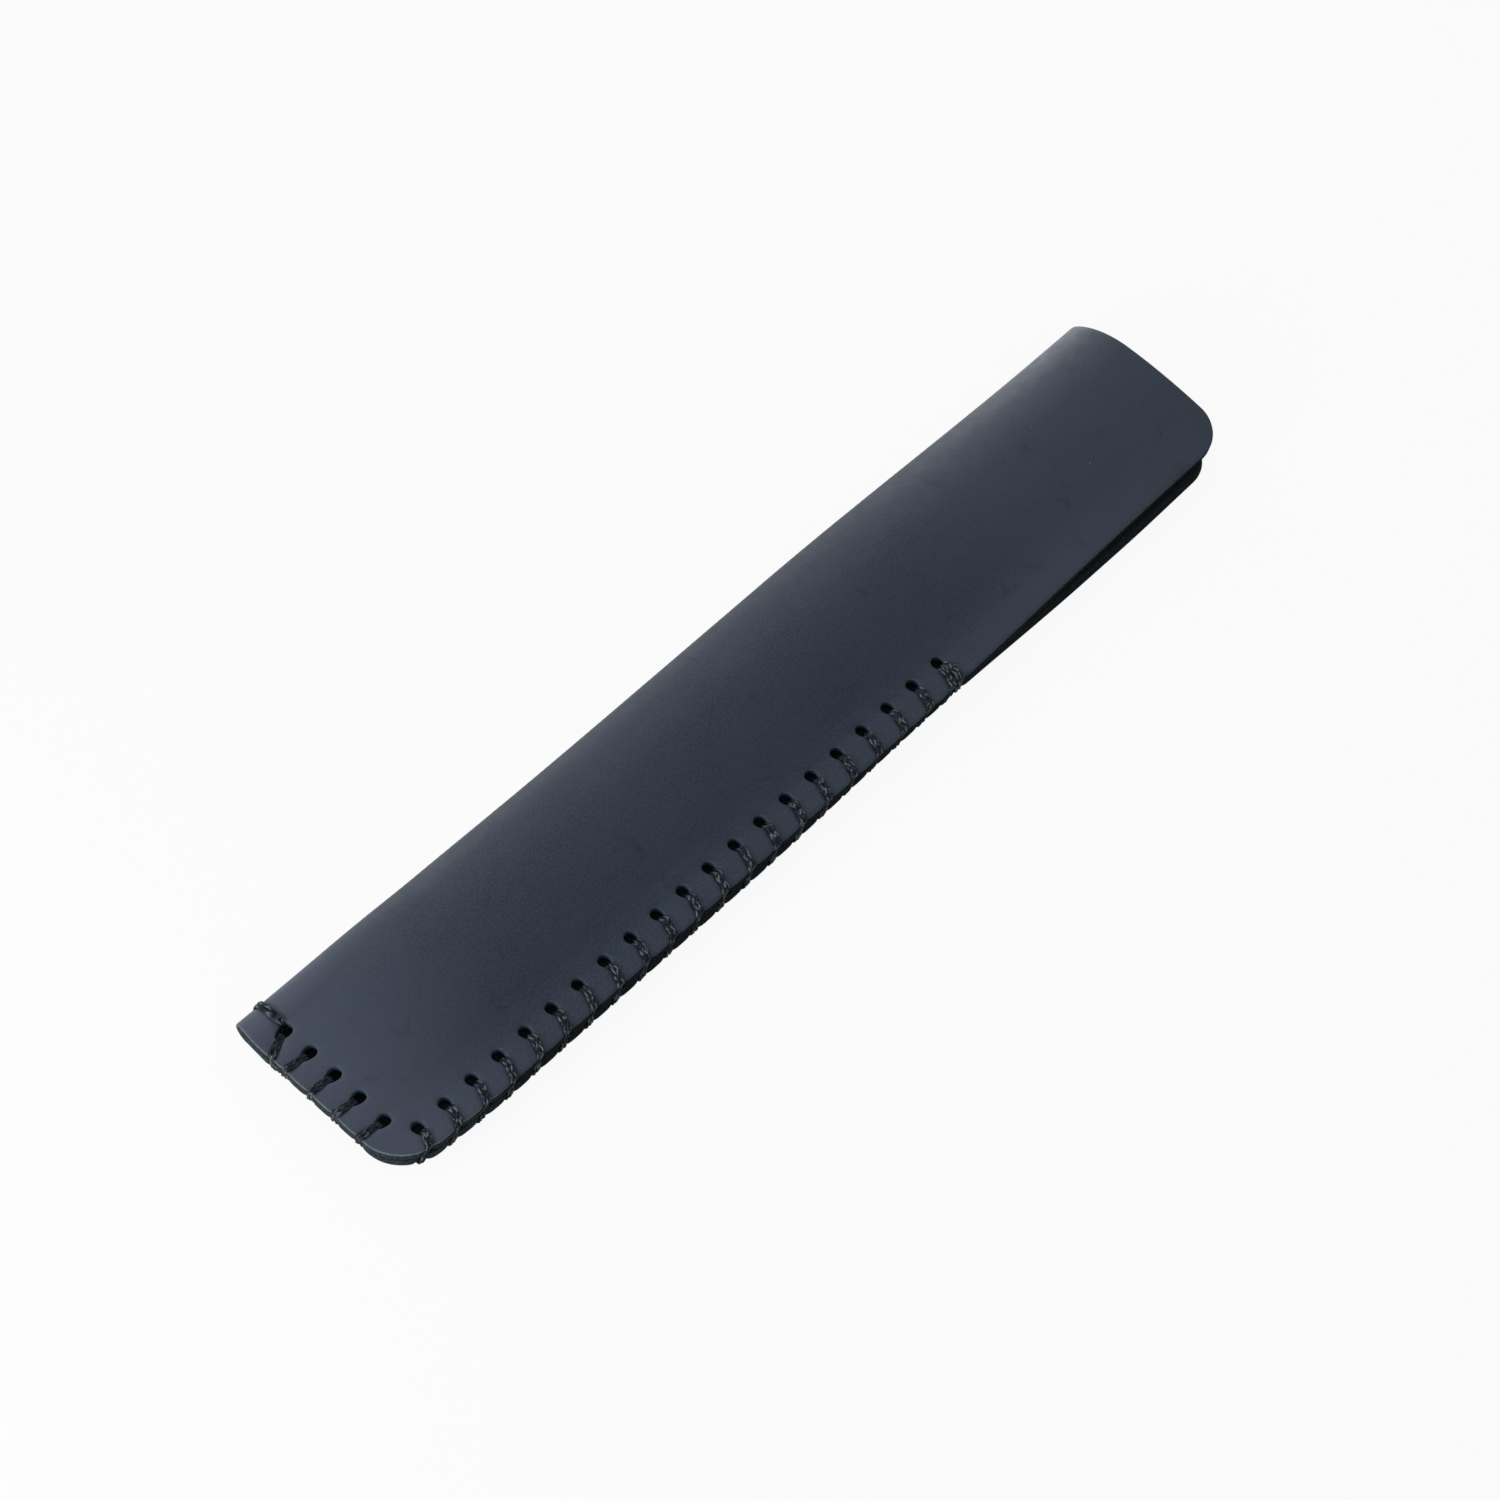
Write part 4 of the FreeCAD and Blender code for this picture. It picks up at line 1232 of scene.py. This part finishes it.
print(f"with the cut edges the leather finish has {len(leather_tree.nodes)} nodes")

# %% Gloss and fine relief of the leather
cut_roughness, fibre_relief = 0.85, 4.0
pebble_scale, pebble_relief = 1.7, 0.5
relief_strength, relief_depth = 0.5, 0.03 * MM
leather_shader.inputs["Specular Tint"].default_value = colour(0.7, 0.84, 1.0)
cloudy = noise(leather_tree, blank_place, scale=0.5, detail=4.0)
gloss = ramp(leather_tree, cloudy, low=0.3, high=0.7, start=0.45, stop=0.52)
dull = mix_number(leather_tree, on_cut, gloss, cut_roughness)
leather_tree.links.new(dull, leather_shader.inputs["Roughness"])
shine = ramp(leather_tree, cut_share, low=0.06, high=0.2, start=0.5, stop=0.12)
leather_tree.links.new(shine, leather_shader.inputs["Specular IOR Level"])

pebbles = add_node(leather_tree, "ShaderNodeTexVoronoi", {"Vector": blank_place, "Scale": pebble_scale},
                   feature="SMOOTH_F1").outputs[0]
pores = noise(leather_tree, blank_place, scale=5.0, detail=4.0, roughness=0.65)
grain = calculate(leather_tree, "MULTIPLY_ADD", pebbles, pebble_relief, pores)
fibres = calculate(leather_tree, "MULTIPLY", fibre, fibre_relief)


def raise_relief(tree, shader, height, strength, depth):
    """Bumps on a finish, from a height between 0 and about 1."""
    bump = add_node(tree, "ShaderNodeBump", {"Strength": strength, "Distance": depth, "Height": height})
    tree.links.new(bump.outputs[0], shader.inputs["Normal"])


raise_relief(leather_tree, leather_shader, mix_number(leather_tree, on_cut, grain, fibres),
             relief_strength, relief_depth)
print(f"the leather finish has {len(leather_tree.nodes)} nodes")

# %% [markdown]
# ## Thread finish
# The thread is black, with pale wax on its raised yarns, and the glints where these catch the light are
# painted in the same colour. One colour with a strong gloss would look like plastic, so wax and painted
# glints are a paler colour in fine strands along the yarns, on the parts that the braid's tree has noted
# as raised. The route's share leaves them out inside the holes, and keeps the inner half of the closed
# end's stitches dark as painted shade.

# %% Waxed thread with painted glints
strand_runs, strand_turns = 900.0, 5.0
thread_gloss, thread_roughness = 0.4, 0.25
strand_relief, strand_depth = 0.4, 0.02 * MM
thread_tree, thread_shader = shader_tree(thread_finish)
yarn_along = calculate(thread_tree, "MULTIPLY", attribute(thread_tree, "along"), strand_runs)
yarn_round = calculate(thread_tree, "MULTIPLY", attribute(thread_tree, "around"), strand_turns)
yarn_place = add_node(thread_tree, "ShaderNodeCombineXYZ", {0: yarn_along, 1: yarn_round}).outputs[0]
strands = noise(thread_tree, yarn_place, scale=1.0, detail=3.0)
strand_share = ramp(thread_tree, strands, low=0.35, high=0.7)
black = mix_colour(thread_tree, strand_share, colour(0.003, 0.005, 0.009), colour(0.01, 0.014, 0.021))
on_top = ramp(thread_tree, attribute(thread_tree, "raised"), low=-0.1, high=0.8)
# Painted highlight: pale wax and glints on the raised strands, times the route's share.
waxed_and_glinting = calculate(thread_tree, "MULTIPLY", on_top, ramp(thread_tree, strands, low=0.34, high=0.6))
waxed_and_glinting = calculate(thread_tree, "MULTIPLY", waxed_and_glinting, attribute(thread_tree, "wax_and_glint"))
black_with_wax_and_glint = mix_colour(thread_tree, waxed_and_glinting, black, colour(0.17, 0.205, 0.23))
thread_tree.links.new(black_with_wax_and_glint, thread_shader.inputs["Base Color"])
thread_shader.inputs["Specular IOR Level"].default_value = thread_gloss
thread_shader.inputs["Roughness"].default_value = thread_roughness
thread_shader.inputs["Specular Tint"].default_value = colour(0.66, 0.84, 1.0)
raise_relief(thread_tree, thread_shader, strands, strand_relief, strand_depth)
print(f"the thread finish has {len(thread_tree.nodes)} nodes")

# %% [markdown]
# ## Floor, backdrop and light
# The photograph has a white ground with hardly a shadow, and soft light from behind that runs along the
# fold and grows towards the mouth. A white floor in strong light would wash the dark leather out. So the
# floor shows white to the camera by its own glow, keeps a little of the shadow, and is darker where the
# leather only gets light from it. What the leather mirrors of the floor is brighter behind the mouth.

# %% The floor, with a glow for reflections
floor_reach = 4.0
lit_floor, seen_floor, glow_share = colour(0.3, 0.3, 0.3), colour(0.9, 0.9, 0.9), 0.92
white = colour(1, 1, 1)
reflection_glow_base, seen_glow = 0.32, 1.0
floor_corners = [(-1, -1), (1, -1), (1, 1), (-1, 1)]
floor_mesh = bpy.data.meshes.new("floor")
floor_mesh.from_pydata([(x * floor_reach, y * floor_reach, 0) for x, y in floor_corners], [], [(0, 1, 2, 3)])
floor = place_in_scene("floor", floor_mesh)

floor_finish = bpy.data.materials.new("pale_floor")
floor_finish.use_nodes = True
floor_tree = floor_finish.node_tree
floor_tree.nodes.clear()
rays = add_node(floor_tree, "ShaderNodeLightPath").outputs
seen = calculate(floor_tree, "MAXIMUM", rays["Is Camera Ray"], rays["Is Glossy Ray"])
seen = calculate(floor_tree, "MAXIMUM", seen, rays["Is Transmission Ray"])
matt = add_node(floor_tree, "ShaderNodeBsdfDiffuse", {0: mix_colour(floor_tree, seen, lit_floor, seen_floor)})
floor_place = add_node(floor_tree, "ShaderNodeTexCoord").outputs["Object"]
floor_x, floor_y, _ = add_node(floor_tree, "ShaderNodeSeparateXYZ", {0: floor_place}).outputs
# Painted reflection: for glossy rays the floor glows, brightest behind the mouth at about three times white,
# so the fold's sheen there is lit as by a lamp.
behind = ramp(floor_tree, floor_y, low=-0.01, high=0.03)
reflection_glow_by_mouth = ramp(floor_tree, floor_x, low=0.05, high=0.1, start=0.62, stop=2.9)
reflection_glow = calculate(floor_tree, "MULTIPLY_ADD", behind, reflection_glow_by_mouth, reflection_glow_base)
level = mix_number(floor_tree, rays["Is Camera Ray"], reflection_glow, seen_glow)
glow = add_node(floor_tree, "ShaderNodeEmission", {"Color": white, "Strength": level})
glowing = calculate(floor_tree, "MULTIPLY", seen, glow_share)
mixed = add_node(floor_tree, "ShaderNodeMixShader", {0: glowing, 1: matt.outputs[0], 2: glow.outputs[0]})
add_node(floor_tree, "ShaderNodeOutputMaterial", {0: mixed.outputs[0]})
floor_mesh.materials.append(floor_finish)
print(f"the floor is {2 * floor_reach:.0f} m wide")

# %% The room
room_light, seen_white = 0.41, 0.957
scene.view_settings.view_transform = "Standard"
room = bpy.data.worlds.new("studio")
scene.world = room
room.use_nodes = True
room_tree = room.node_tree
room_tree.nodes.clear()
room_rays = add_node(room_tree, "ShaderNodeLightPath").outputs
room_seen = calculate(room_tree, "MAXIMUM", room_rays["Is Camera Ray"], room_rays["Is Transmission Ray"])
room_level = calculate(room_tree, "MULTIPLY_ADD", room_seen, seen_white - room_light, room_light)
sky = add_node(room_tree, "ShaderNodeBackground", {"Color": white, "Strength": room_level})
add_node(room_tree, "ShaderNodeOutputWorld", {0: sky.outputs[0]})
print(f"the room's own light has a strength of {room_light}")

# %% Lamps, each with its place in metres, its size and its power
lamps = {
    "end_lamp": ((-0.3, 0.05, 0.12), 0.08, 0.32),
    "far_lamp": ((0.5, 0.6, 0.5), 0.5, 0.75),
    "back_lamp": ((-0.2, 0.7, 0.45), 0.5, 0.64),
    "mouth_lamp": ((0.15, 0.16, 0.03), 0.06, 0.012),
    "fold_lamp": ((0.05, 0.56, 0.07), 0.15, 0.18),
}
for name, (place, size, power) in lamps.items():
    lamp = bpy.data.lights.new(name, "AREA")
    lamp.shape = "SQUARE"
    lamp.size = size
    lamp.energy = power
    holder = place_in_scene(name, lamp)
    holder.location = place
    holder.rotation_euler = Vector(place).to_track_quat("Z", "Y").to_euler()
    holder.visible_camera = False
print(f"{len(lamps)} soft lamps")
